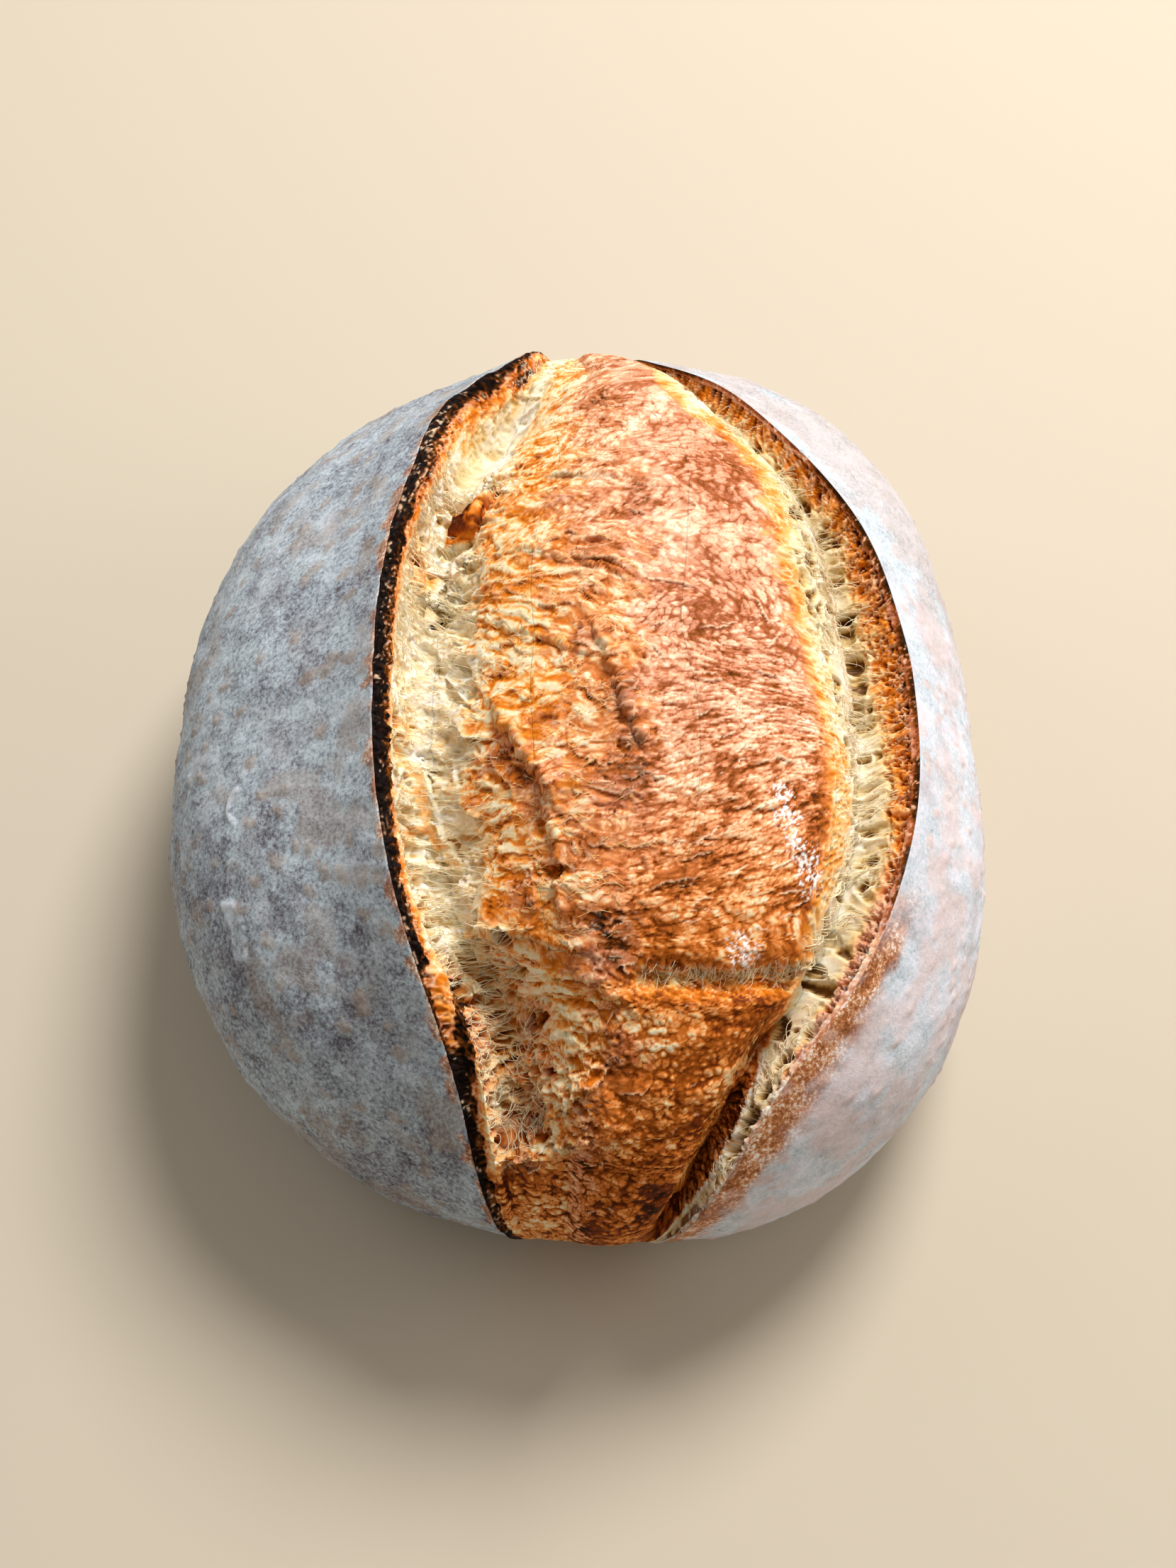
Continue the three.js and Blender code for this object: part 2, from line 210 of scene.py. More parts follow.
def noise(x, y, seed=0):
    x, y = x + seed * 37.31, y + seed * 17.73
    i, j = np.floor(x).astype(int), np.floor(y).astype(int)
    u, v = x - i, y - j
    u, v = u * u * u * (u * (u * 6 - 15) + 10), v * v * v * (v * (v * 6 - 15) + 10)
    i, j = i & 255, j & 255
    i1, j1 = (i + 1) & 255, (j + 1) & 255
    return mix(mix(lattice[i, j], lattice[i1, j], u), mix(lattice[i, j1], lattice[i1, j1], u), v)


def fractal(x, y, seed=0, octaves=4):
    total, size = 0, 1
    for k in range(octaves):
        total = total + size * noise(x, y, seed + k)
        x, y, size = 1.62 * x + 1.17 * y, 1.62 * y - 1.17 * x, size * 0.5
    return total


def cells(x, y, seed=0):
    # distance to the nearest and second nearest of scattered points, and a random value of the nearest
    x, y = x + seed * 53.7, y + seed * 29.3
    i, j = np.floor(x).astype(int), np.floor(y).astype(int)
    first, second, value = np.full(x.shape, 9.0), np.full(x.shape, 9.0), np.zeros(x.shape)
    for di in (-1, 0, 1):
        for dj in (-1, 0, 1):
            a, b = (i + di) & 255, (j + dj) & 255
            d = np.hypot(i + di + jitter[0, a, b] - x, j + dj + jitter[1, a, b] - y)
            nearer = d < first
            second = np.where(nearer, first, np.minimum(second, d))
            value = np.where(nearer, jitter[2, a, b], value)
            first = np.where(nearer, d, first)
    return first, second, value


grid = {"gap": 0.32, "endGap": 1.4, "fine": (-0.73, 0.5)}  # mm, coarser before and after these along values


def alongSteps(gap, endGap):
    # along values whose places are about gap mm apart where the slash shows, wider at the hidden ends
    table = np.linspace(-1, 1, 4001)
    lengths = alongMm(table)
    start, stop = (alongMm(t) for t in grid["fine"])
    parts = [
        np.linspace(lengths[0], start, int((start - lengths[0]) / endGap), endpoint=False),
        np.linspace(start, stop, int((stop - start) / gap), endpoint=False),
        np.linspace(stop, lengths[-1], int((lengths[-1] - stop) / endGap)),
    ]
    return np.interp(np.concatenate(parts), lengths, table)


def placesOf(side, along, height):
    return domePoint(side, along) + domeNormal(side, along) * height[..., None]


def sideOf(across, along):
    return mix(edgeAt(0, along), edgeAt(1, along), across)


# columns evenly spaced over the section, as it is a little before the loaf's middle
denseSteps = np.linspace(0, len(slash["section"]) - 1, 1500)
middle = np.array([-0.1])
acrossMiddle, heightMiddle = sectionAt(denseSteps, middle)
profile = placesOf(sideOf(acrossMiddle, middle[:, None]), np.full(acrossMiddle.shape, middle[0]), heightMiddle)[0]
runLength = np.concatenate([[0], np.cumsum(np.linalg.norm(np.diff(profile, axis=0), axis=1))])
columnCount = int(runLength[-1] / grid["gap"])
steps = np.interp(np.linspace(0, runLength[-1], columnCount), runLength, denseSteps)
alongs = alongSteps(grid["gap"], grid["endGap"])
print("slash grid", len(alongs), "by", columnCount)

along = np.repeat(alongs[:, None], columnCount, 1)
step = np.repeat(steps[None, :], len(alongs), 0)
across, sectionHeight = sectionAt(steps, alongs)
side = sideOf(across, along)
xMm, yMm = acrossMm(side), alongMm(along)
tear = slash["crossTear"]
tearReach = between(across, tear["from"], tear["from"] + tear["fade"], tear["to"] - tear["fade"], tear["to"])


def raggedEdge(y):
    # the ear and the rim don't end in a clean line
    return 0.35 * fractal(y / 4, y * 0 + 2, 21)


def ledgeHeight(ledge):
    (a0, t0), (a1, t1), height, run = ledge
    x0, y0 = acrossMm(sideOf(a0, t0)), alongMm(t0)
    x1, y1 = acrossMm(sideOf(a1, t1)), alongMm(t1)
    length = np.hypot(x1 - x0, y1 - y0)
    ux, uy = (x1 - x0) / length, (y1 - y0) / length
    lengthwise = ((xMm - x0) * ux + (yMm - y0) * uy) / length
    beyond = np.maximum(0, np.maximum(-lengthwise, lengthwise - 1)) * length
    uphill = (yMm - y0) * ux - (xMm - x0) * uy
    uphill = uphill + 0.9 * noise(xMm / 2.2, yMm / 2.2, 12) + 0.4 * noise(xMm / 0.8, yMm / 0.8, 13)
    rise = smoothStep(-0.5, 0.3, uphill) * np.exp(-np.maximum(0, uphill) / run)
    return height * rise * bell(beyond / 4)


def largeRelief():
    # the section with everything on it that is several mm in size
    ledgeAlong, slant, width = slash["nearLedge"]
    edge = ledgeAlong + slant * np.maximum(0, across - 0.15) + 0.012 * noise(xMm / 3, yMm / 3, 4)
    closed = (1 - smoothStep(edge - width / 2, edge + width / 2, along)) * (1 - smoothStep(0.38, 0.45, across))
    height = np.where(sectionHeight < 1.5, mix(sectionHeight, 1.5, closed), sectionHeight)
    farFill = smoothStep(0.31, 0.39, along) * (1 - smoothStep(0.42, 0.5, across))
    height = mix(height, np.maximum(height, 2.5), farFill)
    extra = sum(ledgeHeight(ledge) for ledge in slash["ledges"])
    tearAlong = tear["along"] + 0.004 * fractal(xMm / 6, yMm * 0, 5)
    extra -= tear["depth"] * tearReach * np.exp(-np.abs((along - tearAlong) / tear["width"]) ** 3)
    for a, t, radius, depth in slash["hollows"]:
        d2 = ((xMm - acrossMm(sideOf(a, t))) ** 2 + (yMm - alongMm(t)) ** 2) / radius**2
        extra -= depth * np.exp(-d2)
    strip = slash["earStrip"]
    extra += strip["height"] * between(along, *strip["span"]) * bell((across - strip["across"]) / strip["half"])
    return height + extra * smoothStep(0, 0.05, across) * smoothStep(0, 0.05, 1 - across)


openShare = between(along, *slash["open"])
base = placesOf(side, along, (largeRelief() + raggedEdge(yMm) * np.exp(-across / 0.02)) * openShare)
baseNormal = np.cross(np.gradient(base, axis=1), np.gradient(base, axis=0))
baseNormal /= np.maximum(1e-9, np.linalg.norm(baseNormal, axis=-1, keepdims=True))
acrossAxis = np.gradient(base, axis=1)
columnGap = np.maximum(0.05, np.linalg.norm(acrossAxis, axis=-1))
acrossAxis /= columnGap[..., None]
alongAxis = np.cross(baseNormal, acrossAxis)
rowGap = np.maximum(0.05, np.linalg.norm(np.gradient(base, axis=0), axis=-1))
middleGap = rowGap[:, columnCount // 2]
xFlat = np.cumsum(columnGap, axis=1)  # mm over the surface, from the ear
yFlat = np.repeat(np.cumsum(middleGap)[:, None], columnCount, 1)
print("base form done")


def toward(start, full):
    # 0 before one along value, 1 from another on
    return smoothStep(start, full, along)


def grain(x, y, seed, octaves=1):
    # noise on the surface, with its size in mm across and along
    return fractal(xFlat / x, yFlat / y, seed, octaves)


# (along, step of the section) of lines that run along the loaf
borders = {
    "crustEnd": [
        (-0.6, 15.6), (-0.51, 15.2), (-0.43, 14.2), (-0.36, 12.1), (-0.3, 11.3), (-0.1, 11.1), (0.05, 10.9),
        (0.1, 10.7), (0.3, 10.2),
    ],
    "bandEnd": [
        (-0.6, 15.8), (-0.51, 15.4), (-0.43, 14.6), (-0.36, 12.9), (-0.28, 12.1), (-0.22, 12.9), (-0.09, 12.2),
        (0.03, 11.4), (0.1, 11.1), (0.3, 10.9),
    ],
    "wallStart": [
        (-0.6, 16.3), (-0.45, 16.2), (-0.4, 15.6), (-0.3, 15.4), (-0.2, 15.4), (-0.1, 15.1), (0, 14.8), (0.3, 14.8),
    ],
    "charEnd": [
        (-0.75, 1.2), (-0.5, 1.3), (-0.43, 1.8), (-0.41, 0.35), (-0.34, 0.35), (-0.325, 1.5), (-0.22, 1.6),
        (-0.15, 2.1), (0.05, 2.0), (0.25, 1.8), (0.33, 1.3), (0.45, 0.9),
    ],
    "strip": [(-0.43, 1.2), (-0.4, 2.0), (-0.37, 2.7), (-0.337, 3.3)],  # a second charred strip beside the ear
}
crustEnd, bandEnd, wallStart, charEnd, strip = (np.interp(along, *zip(*line)) for line in borders.values())

# the section's steps, moved so that every zone starts and ends on the same number along the whole slash
wallEnd = np.maximum(16.05, wallStart + 0.15)
knots = [(9.6, 9.6), (crustEnd, 11.2), (bandEnd, 12.2), (wallStart, 15), (wallEnd, 16), (17, 17)]
zoneStep = step.copy()
for (fromStep, fromZone), (toStep, toZone) in zip(knots, knots[1:]):
    f = (step - fromStep) / (toStep - fromStep)
    zoneStep = np.where(f > 0, mix(fromZone, toZone, np.minimum(f, 1)), zoneStep)
wobble = 0.1 * grain(5, 5, 31) + 0.1 * grain(1.8, 1.6, 32)
wobble *= mix(4.5, 2, smoothStep(7.8, 8.6, step)) * (1 - 0.6 * smoothStep(10.5, 11, step))
zoneStep += wobble * smoothStep(4, 6, step)


def zone(low, high, soft):
    return between(zoneStep, low - soft, low + soft, high - soft, high + soft)


slant = slash["nearLedge"][1] * np.maximum(0, across - 0.15)
nearSkin = 1 - smoothStep(-0.6, -0.55, along - slant + 0.01 * grain(2, 2, 33))
charWobble = 0.25 * noise(yFlat / 2.5, xFlat / 3, 34) + 0.12 * noise(yFlat / 0.8, xFlat / 1.2, 35)
onStrip = between(along, -0.44, -0.42, -0.345, -0.335)
charZone = 1 - smoothStep(-0.12, 0.12, step - charEnd + charWobble * smoothStep(0, 0.6, step))
charZone = np.maximum(charZone, onStrip * (1 - smoothStep(0.65, 0.9, np.abs(step - strip + charWobble))))
fresh = 1 - nearSkin
faceZone = between(step, 0.1, 0.4, 4.0, 4.6) * (1 - charZone) * fresh
# first and last step of the section of each zone, and how soft its borders are
zones = {
    "crumb": (4.2, 6.5, 0.4), "flake": (6.4, 9.15, 0.3), "risen": (9.15, 11.2, 0.25), "cream": (11.2, 12.2, 0.15),
    "groove": (12.2, 15, 0.15), "wall": (15, 16.1, 0.1),
}
crumbZone, flakeZone, risenZone, creamZone, grooveZone, wallZone = (zone(*spec) for spec in zones.values())
crumbZone = np.maximum(crumbZone, 0.8 * between(step, 2.2, 3, 4, 4.6)) * fresh
flakeZone *= fresh
rimZone = smoothStep(15.9, 16.2, zoneStep)
skin = np.maximum(risenZone, nearSkin)
farTorn = flakeZone * toward(0.02, 0.12)
nearTorn = flakeZone * toward(-0.32, -0.38)
nearCrumb = crumbZone * toward(-0.25, -0.34)
farSkin = toward(-0.04, 0.08)
drawnOut = skin * toward(0.04, -0.1) * toward(-0.33, -0.29)

# fibres run down to the right on the far left, level on the near left, up to the right on the risen crust
crestColumn = np.searchsorted(steps, 9)
hump = between(along, -0.32, -0.26, -0.14, -0.04)
shear = mix(0.42 * toward(-0.16, 0.04), -0.22 * hump, smoothStep(8.6, 9.6, step))
yFibre = yFlat + shear * (xFlat - xFlat[:, crestColumn : crestColumn + 1])
xSwirl = xFlat + 2.2 * grain(7, 6, 36) + 0.9 * grain(2.8, 2.4, 37)
ySwirl = yFibre + 2.0 * grain(7, 6, 38) + 0.8 * grain(2.8, 2.4, 39)


def fibrous(x, y, seed, octaves=1):
    # the same kind of noise, laid along the fibres
    return fractal(xFlat / x, yFibre / y, seed, octaves)


def gridPlace(a, t):
    row = int(np.abs(alongs - t).argmin())
    return row, int(np.abs(across[row] - a).argmin())


def whirl(x, y, a, t, size, turns):
    # the dough's surface turned like a curl round one place
    place = gridPlace(a, t)
    dx, dy = x - x[place], y - y[place]
    angle = turns * bell(np.hypot(xFlat - xFlat[place], yFlat - yFlat[place]) / size)
    return x + dx * (np.cos(angle) - 1) - dy * np.sin(angle), y + dy * (np.cos(angle) - 1) + dx * np.sin(angle)


yRound = np.cumsum(middleGap / mix(1, 1.4, farSkin[:, 0]))[:, None]  # rounder at the far end
xSkin, ySkin = whirl(xFlat, yRound + yFibre - yFlat, 0.565, 0.012, 11, 0.8)  # the risen crust, with a curl in it
relief = np.zeros(along.shape)  # mm along the base normal
lip = np.zeros(along.shape)  # thin dry edges, which look pale
tint = np.zeros(along.shape)  # added to the baking of single sheets and blisters, and of membranes and terraces, where it also holds a painted highlight and painted shade


def blur(field, radius):
    # box blur twice, radius in mm
    n = max(1, int(radius / grid["gap"]))
    for axis in (0, 1, 0, 1):
        first, last = np.take(field, [0], axis), np.take(field, [-1], axis)
        padded = np.concatenate([np.repeat(first, n + 1, axis), field, np.repeat(last, n, axis)], axis)
        total, size, width = np.cumsum(padded, axis), field.shape[axis], 2 * n + 1
        field = (np.take(total, range(width, width + size), axis) - np.take(total, range(size), axis)) / width
    return field


def around(row, column, reach):
    # the grid within reach of a point, with places in mm across and along from it
    r = min(90, int(reach / rowGap[row, column]) + 1)
    c = min(90, int(reach / columnGap[row, column]) + 1)
    window = np.s_[max(0, row - r) : row + r + 1, max(0, column - c) : column + c + 1]
    away = base[window] - base[row, column]
    return window, away @ acrossAxis[row, column], away @ alongAxis[row, column]


def turned(a, b, turn):
    return a * cos(turn) + b * sin(turn), b * cos(turn) - a * sin(turn)


def scatter(weight, count):
    # random grid points, spread evenly over the area that weight gives
    chance = np.cumsum((weight * (columnGap * rowGap)).ravel())
    return np.unravel_index(np.searchsorted(chance, rng.uniform(0, chance[-1], count)), weight.shape)


def raiseLip(values, window=np.s_[:]):
    lip[window] = np.maximum(lip[window], values)


# Every layer below first takes the share of the surface that it covers. Sizes are in mm, and most end with a seed.
def web(weight, size, stretch, depth, wallWidth, fill, seed):
    # lens-shaped openings between thin walls, drawn out along the fibres
    bendX = size * grain(3 * size, 3 * size, seed + 5)
    bendY = size * 0.5 * grain(2.2 * size, 2.2 * size, seed + 6)
    stretch = mix(stretch, 1.1, toward(-0.3, -0.4))  # round cells at the near end
    f1, f2, value = cells((xFlat + bendX) / (size * stretch), (yFibre + bendY) / size, seed)
    opened = smoothStep(0.02, wallWidth, f2 - f1) * smoothStep(fill - 0.1, fill + 0.1, value)
    relief[:] -= weight * depth * (0.45 + value) * opened * mix(0.5, 1, smoothStep(0.1, 0.7, f2 - f1))
    edge = bell((f2 - f1) / (wallWidth * 0.45)) * smoothStep(-0.3, 0.3, grain(2, 2, seed + 7))
    raiseLip(0.75 * weight * edge)


def membranes(weight, size, stretch, height, sunkShare, contrast, seed):
    # skins stretched over gas cells: most bulge, some have sunk in, browner at the border, with a pale thread on it;
    # paler over the middle of each bulge, partly thin skin and partly a painted highlight
    stretch = mix(stretch, 1.2, toward(0, 0.1))  # rounder at the far end
    f1, f2, value = cells(xSwirl / (size * stretch), ySwirl / size, seed)
    swell = smoothStep(0, 0.65, f2 - f1)
    sunk = smoothStep(sunkShare + 0.04, sunkShare - 0.04, value)
    relief[:] += weight * height * swell * mix(1, -2.2, sunk)
    tint[:] += weight * contrast * mix(0.6 - swell * (0.9 + 1.2 * value), 0.3 - 0.3 * swell, sunk)
    thread = bell((f2 - f1) / (0.06 + 0.1 / size))
    thread = thread * smoothStep(0, 0.5, grain(2 * size, size, seed + 7))
    raiseLip(0.9 * weight * thread)
    relief[:] += 0.12 * weight * thread


def terraces(weight, long, tall, height, seed):
    # torn layers: plateaus at two levels, with a ragged pale edge above and a darker foot below each drop, partly
    # browned and partly painted shade
    level = fractal(xSwirl / long, ySwirl / tall, seed, 4) + 0.15
    parting = smoothStep(-0.5, 0.3, grain(1.5 * long, 1.5 * tall, seed + 8))
    tint[:] += weight * parting * (0.34 * bell((level + 0.1) / 0.13) - 0.06 * smoothStep(0.1, 0.5, level))
    edge = bell((level - 0.09) / 0.055) * parting
    relief[:] += weight * height * (smoothStep(-0.09, 0.09, level) + 0.25 * edge)
    raiseLip(weight * edge)


def threads(weight, size, height, seed):
    # thin bright walls that stand between the openings and wander as they please
    bendX, bendY = (0.8 * size * grain(size, size, seed + k) for k in (1, 2))
    f1, f2 = cells((xFlat + bendX) / size, (yFlat + bendY) / size, seed)[:2]
    line = bell((f2 - f1) / (0.02 + 0.09 / size)) * smoothStep(-0.4, 0.1, grain(3, 3, seed + 3))
    relief[:] += weight * height * line
    raiseLip(weight * line)


def blisters(weight, long, tall, height, pale, fill, seed):
    # pale blisters with darker crust between them, which touch where the share is high
    bendX = 0.35 * long * grain(1.8 * long, 1.8 * long, seed + 1)
    bendY = 0.35 * tall * grain(1.9 * long, 1.9 * long, seed + 2)
    f1, f2, value = cells((xSkin + bendX) / long, (ySkin + bendY) / tall, seed)
    size = fill * (0.35 + 0.65 * value) * (1 + 0.7 * grain(8, 6, seed + 3))
    bubble = smoothStep(size, size - 0.18, f1) * smoothStep(0, 0.12, f2 - f1)
    relief[:] += weight * height * bubble
    tint[:] -= weight * pale * bubble


def addSheet(row, column, half, length, lift, level, turn, shade):
    # a thin flap whose free edge faces the near end and which sinks into the crust behind
    window, a, b = around(row, column, 1.2 * max(half, length))
    a, b = turned(a, b, turn)
    seed = rng.uniform(0, 200)
    bow = rng.uniform(-0.5, 0.8)
    wave = 0.22 * length * noise(a / (0.5 * half) + seed, a * 0, 3) + 0.22 * noise(a / 0.6, a * 0 + seed, 4)
    uphill = b + 0.4 * length + wave - bow * length * (a / half) ** 2 * 0.4
    behind = np.maximum(0, uphill)
    mask = smoothStep(0, 0.6, 1 - np.abs(a) / half)
    body = mask * (1 - np.clip(uphill / length, 0, 1)) ** 0.8
    streak = 0.12 * lift * noise(a / 2.5 + seed, b / 0.4, 5)
    height = level + lift * body + 0.2 * lift * mask * np.exp(-behind / 0.5) + streak * mask
    higher = (uphill > 0) & (uphill < length) & (mask > 0) & (height > relief[window])
    back = shade + 0.1 - 0.22 * np.exp(-behind / (0.3 * length))
    changes = [
        (relief, height),
        (tint, mix(tint[window], 0.5 * tint[window] + back, mask)),
        (lip, np.maximum(mask * bell(behind / 0.3), 0.5 * lip[window])),
    ]
    for field, values in changes:
        field[window] = np.where(higher, values, field[window])


def sheets(weight, count, half, length, lift, sink, shade, spread):
    rows, columns = scatter(weight, count)
    order = np.argsort(-yFlat[rows, columns])
    for row, column in zip(rows[order], columns[order]):
        level = relief[row, column] * 0.5 - sink * rng.uniform(0.1, 0.9)
        turn = rng.normal(0, spread) - np.arctan(shear[row, column])
        sizes = rng.uniform(*half), rng.uniform(*length), rng.uniform(*lift)
        addSheet(row, column, *sizes, level, turn, rng.uniform(*shade))


def addFlaps(flaps):
    for a, t, half, length, lift, turn, shade in flaps:
        row, column = gridPlace(a, t)
        addSheet(row, column, half, length, lift, relief[row, column] * 0.4, turn, shade)


def addHole(row, column, long, wide, depth, turn):
    window, a, b = around(row, column, 1.3 * long)
    a, b = turned(a, b, turn)
    d = np.sqrt((a / long) ** 2 + (b / wide) ** 2) + 0.16 * noise(a / 0.8 + row, b / 0.8 + column, 6)
    rim = bell((d - 1.05) / 0.12)
    relief[window] += 0.2 * rim - depth * smoothStep(0, 0.9, 1 - d)
    raiseLip(0.85 * rim, window)


def holes(weight, count, long, ratio, depth):
    for row, column in zip(*scatter(weight, count)):
        size = long[0] + (long[1] - long[0]) * rng.uniform() ** 2.5
        turn = rng.normal(0, 0.3) - np.arctan(shear[row, column])
        addHole(row, column, size, size * rng.uniform(*ratio), size * rng.uniform(*depth), turn)


def addLayers(layers):
    for layer, weight, *sizes in layers:
        layer(weight, *sizes)


tornCrust = {
    "layers": [
        (terraces, flakeZone - 0.5 * farTorn, 9, 4.5, 0.8, 51),
        (membranes, 0.7 * flakeZone, 3.4, 2.6, 0.3, 0.25, 0.3, 52),
        (sheets, flakeZone, 26, (2.5, 6), (3, 7), (0.5, 0.9), 0.3, (-0.2, 0.14), 0.4),
        (terraces, flakeZone - 0.6 * farTorn, 4.5, 2.2, 0.35, 53),
        (membranes, flakeZone, 1.7, 2.4, 0.12, 0.3, 0.2, 54),
        (blisters, farTorn, 1.7, 1.2, 0.06, 0.24, 0.7, 77),
        (sheets, flakeZone - 0.7 * farTorn, 56, (1.3, 3.4), (1.2, 3), (0.2, 0.45), 0.2, (-0.16, 0.12), 0.5),
        (holes, flakeZone, 60, (0.5, 2.0), (0.4, 0.75), (0.4, 0.8)),
    ],
    # across, along, half width, length, lift, turn, tint of single large flaps, also on the crumb
    "flaps": [
        (0.025, 0.108, 3.2, 5, 2.0, -0.3, 0.3),
        (0.045, -0.15, 9, 3.5, 1.6, 1.9, 0.16),
        (0.06, -0.19, 5, 3, 1.4, 2.3, 0.2),
        (0.085, -0.215, 3.5, 2.5, 1.0, 2.6, 0.16),
        (0.155, -0.16, 5.5, 5, 1.6, -0.35, 0.26),
        (0.215, -0.135, 9, 6, 1.9, -1.0, 0.42),
        (0.175, -0.27, 7.5, 11, 2.2, -0.42, 0.2),
        (0.242, -0.25, 1.6, 10, 1.5, 0.17, 0.4),
        (0.16, -0.09, 8, 4, 1.4, -0.5, 0.12),
        (0.24, 0.055, 7, 4.5, 1.3, -0.6, 0.18),
        (0.3, -0.33, 7, 6, 1.6, -0.1, 0.2),
        (0.37, 0.07, 5.5, 5, 1.6, -0.3, 0.15),
        (0.31, 0.105, 5, 4, 1.5, -0.1, 0.1),
        (0.3, 0.03, 6, 4.5, 1.5, -0.25, 0.12),
    ],
}
relief += 0.5 * flakeZone * fractal(xSwirl / 8, ySwirl / 4, 41, 2)
addLayers(tornCrust["layers"])
print("torn crust")

tornCrumb = {
    "layers": [  # the groove on the right shares some of them
        (web, crumbZone, 4.6, 1.7, 1.7, 0.14, 0.4, 61),
        (web, nearCrumb, 4.2, 1.0, 1.8, 0.12, 0.2, 56),
        (web, nearCrumb, 2.0, 1.0, 1.0, 0.16, 0.25, 55),
        (web, grooveZone, 6.0, 1.0, 1.3, 0.24, 0.3, 65),
        (sheets, crumbZone - nearCrumb, 50, (1.5, 4.5), (0.8, 2.4), (0.3, 0.6), 0.3, (-0.04, 0.1), 0.3),
        (sheets, nearCrumb, 30, (1.5, 3.5), (1.5, 3), (0.3, 0.6), 0.3, (-0.04, 0.2), 1.4),
        (web, 0.9 * crumbZone + 0.4 * grooveZone, 2.2, 1.8, 0.6, 0.16, 0.35, 62),
        (web, 0.8 * crumbZone + 0.35 * grooveZone, 1.1, 2.0, 0.2, 0.3, 0.35, 63),
        (holes, crumbZone, 50, (1.0, 3.4), (0.45, 0.8), (0.5, 0.9)),
        (web, creamZone, 1.5, 1.5, 0.35, 0.3, 0.4, 66),
        (threads, nearCrumb, 3.4, 0.7, 46),
        (threads, 0.7 * nearCrumb, 1.7, 0.35, 47),
        (threads, 0.8 * nearTorn, 2.4, 0.4, 48),
        (threads, 0.6 * (crumbZone - nearCrumb), 2.0, 0.25, 49),
        (web, nearTorn, 3.0, 1.2, 2.0, 0.16, 0.45, 69),
        (web, nearTorn, 1.4, 1.2, 0.7, 0.2, 0.45, 74),
        (web, faceZone, 2.4, 1.2, 0.5, 0.25, 0.4, 67),
        (web, faceZone, 1.1, 1.3, 0.3, 0.3, 0.4, 68),
        (holes, grooveZone, 18, (1.2, 3.0), (0.5, 0.9), (0.5, 0.9)),
    ],
    "curl": {"place": (0.12, 0.16), "turn": -0.1, "half": 2.6, "length": 9, "height": 0.9},
    # across, along, half width, half height, depth of single large openings
    "wells": [
        (0.055, 0.075, 5, 2.8, 3),
        (0.05, -0.245, 5, 4, 2.5),
        (0.285, -0.238, 5.5, 2.4, 4.5),
        (0.265, -0.195, 2.2, 2.6, 3.5),
        (0.35, 0.085, 4.5, 1.6, 2.8),
        (0.955, 0.2, 3, 2, 1.6),
        (0.955, 0.112, 2.2, 1.8, 1.8),
        (0.955, 0.045, 3, 4.5, 2.2),
        (0.945, -0.02, 2.4, 4, 2),
        (0.985, -0.4, 2.4, 3.5, 3),
        (0.983, -0.435, 2.0, 3.5, 3),
        (0.984, -0.47, 2.2, 3, 3),
        (0.985, -0.505, 2.0, 4, 3),
        (0.985, -0.55, 2.0, 5, 3.5),
    ],
}
relief += 0.4 * crumbZone * fibrous(5, 2.5, 61, 3)
addLayers(tornCrumb["layers"])
addFlaps(tornCrust["flaps"])


def makeCurl():
    # a rugged curl of crust that stands in the crumb: its window, its share there and how far it is baked
    spec = tornCrumb["curl"]
    window, u, v = around(*gridPlace(*spec["place"]), 15)
    u, v = turned(u, v, spec["turn"])
    crease = noise(u / 0.5, v / 1.8, 10) + 0.8 * noise(u / 0.35, v / 0.6, 11)
    half = spec["half"] - 0.08 * v + 0.7 * noise(v / 3.2 + 3, v * 0, 7) + 0.8 * noise(v / 0.7, v * 0, 8)
    half = half * np.sqrt(np.clip(1 - ((v + 0.5) / (spec["length"] + 0.5)) ** 2, 0, 1))
    curl = smoothStep(-0.3, 0.9, half - np.abs(u))
    curl = curl * smoothStep(0, 4, spec["length"] - np.abs(v) + noise(u / 1.2, v * 0, 9))
    relief[window] = mix(relief[window], spec["height"] + 0.22 * u + 0.22 * crease, curl)
    lip[window] *= 1 - curl
    baked = 0.36 * smoothStep(-1.8, 0.4, u + 0.9 * crease) * smoothStep(-7, 2, v) - 0.1 * smoothStep(-3, -9, v)
    return window, curl, 0.5 + baked + 0.08 * crease


curlWindow, curl, curlBake = makeCurl()
terraces(0.8 * flakeZone, 2.2, 1.1, 0.14, 57)
membranes(flakeZone + 0.4 * crumbZone, 0.95, 1.9, 0.06, 0.25, 0.12, 58)
for a, t, half, tall, depth in tornCrumb["wells"]:
    addHole(*gridPlace(a, t), half, tall, depth, -0.2)
print("crumb")

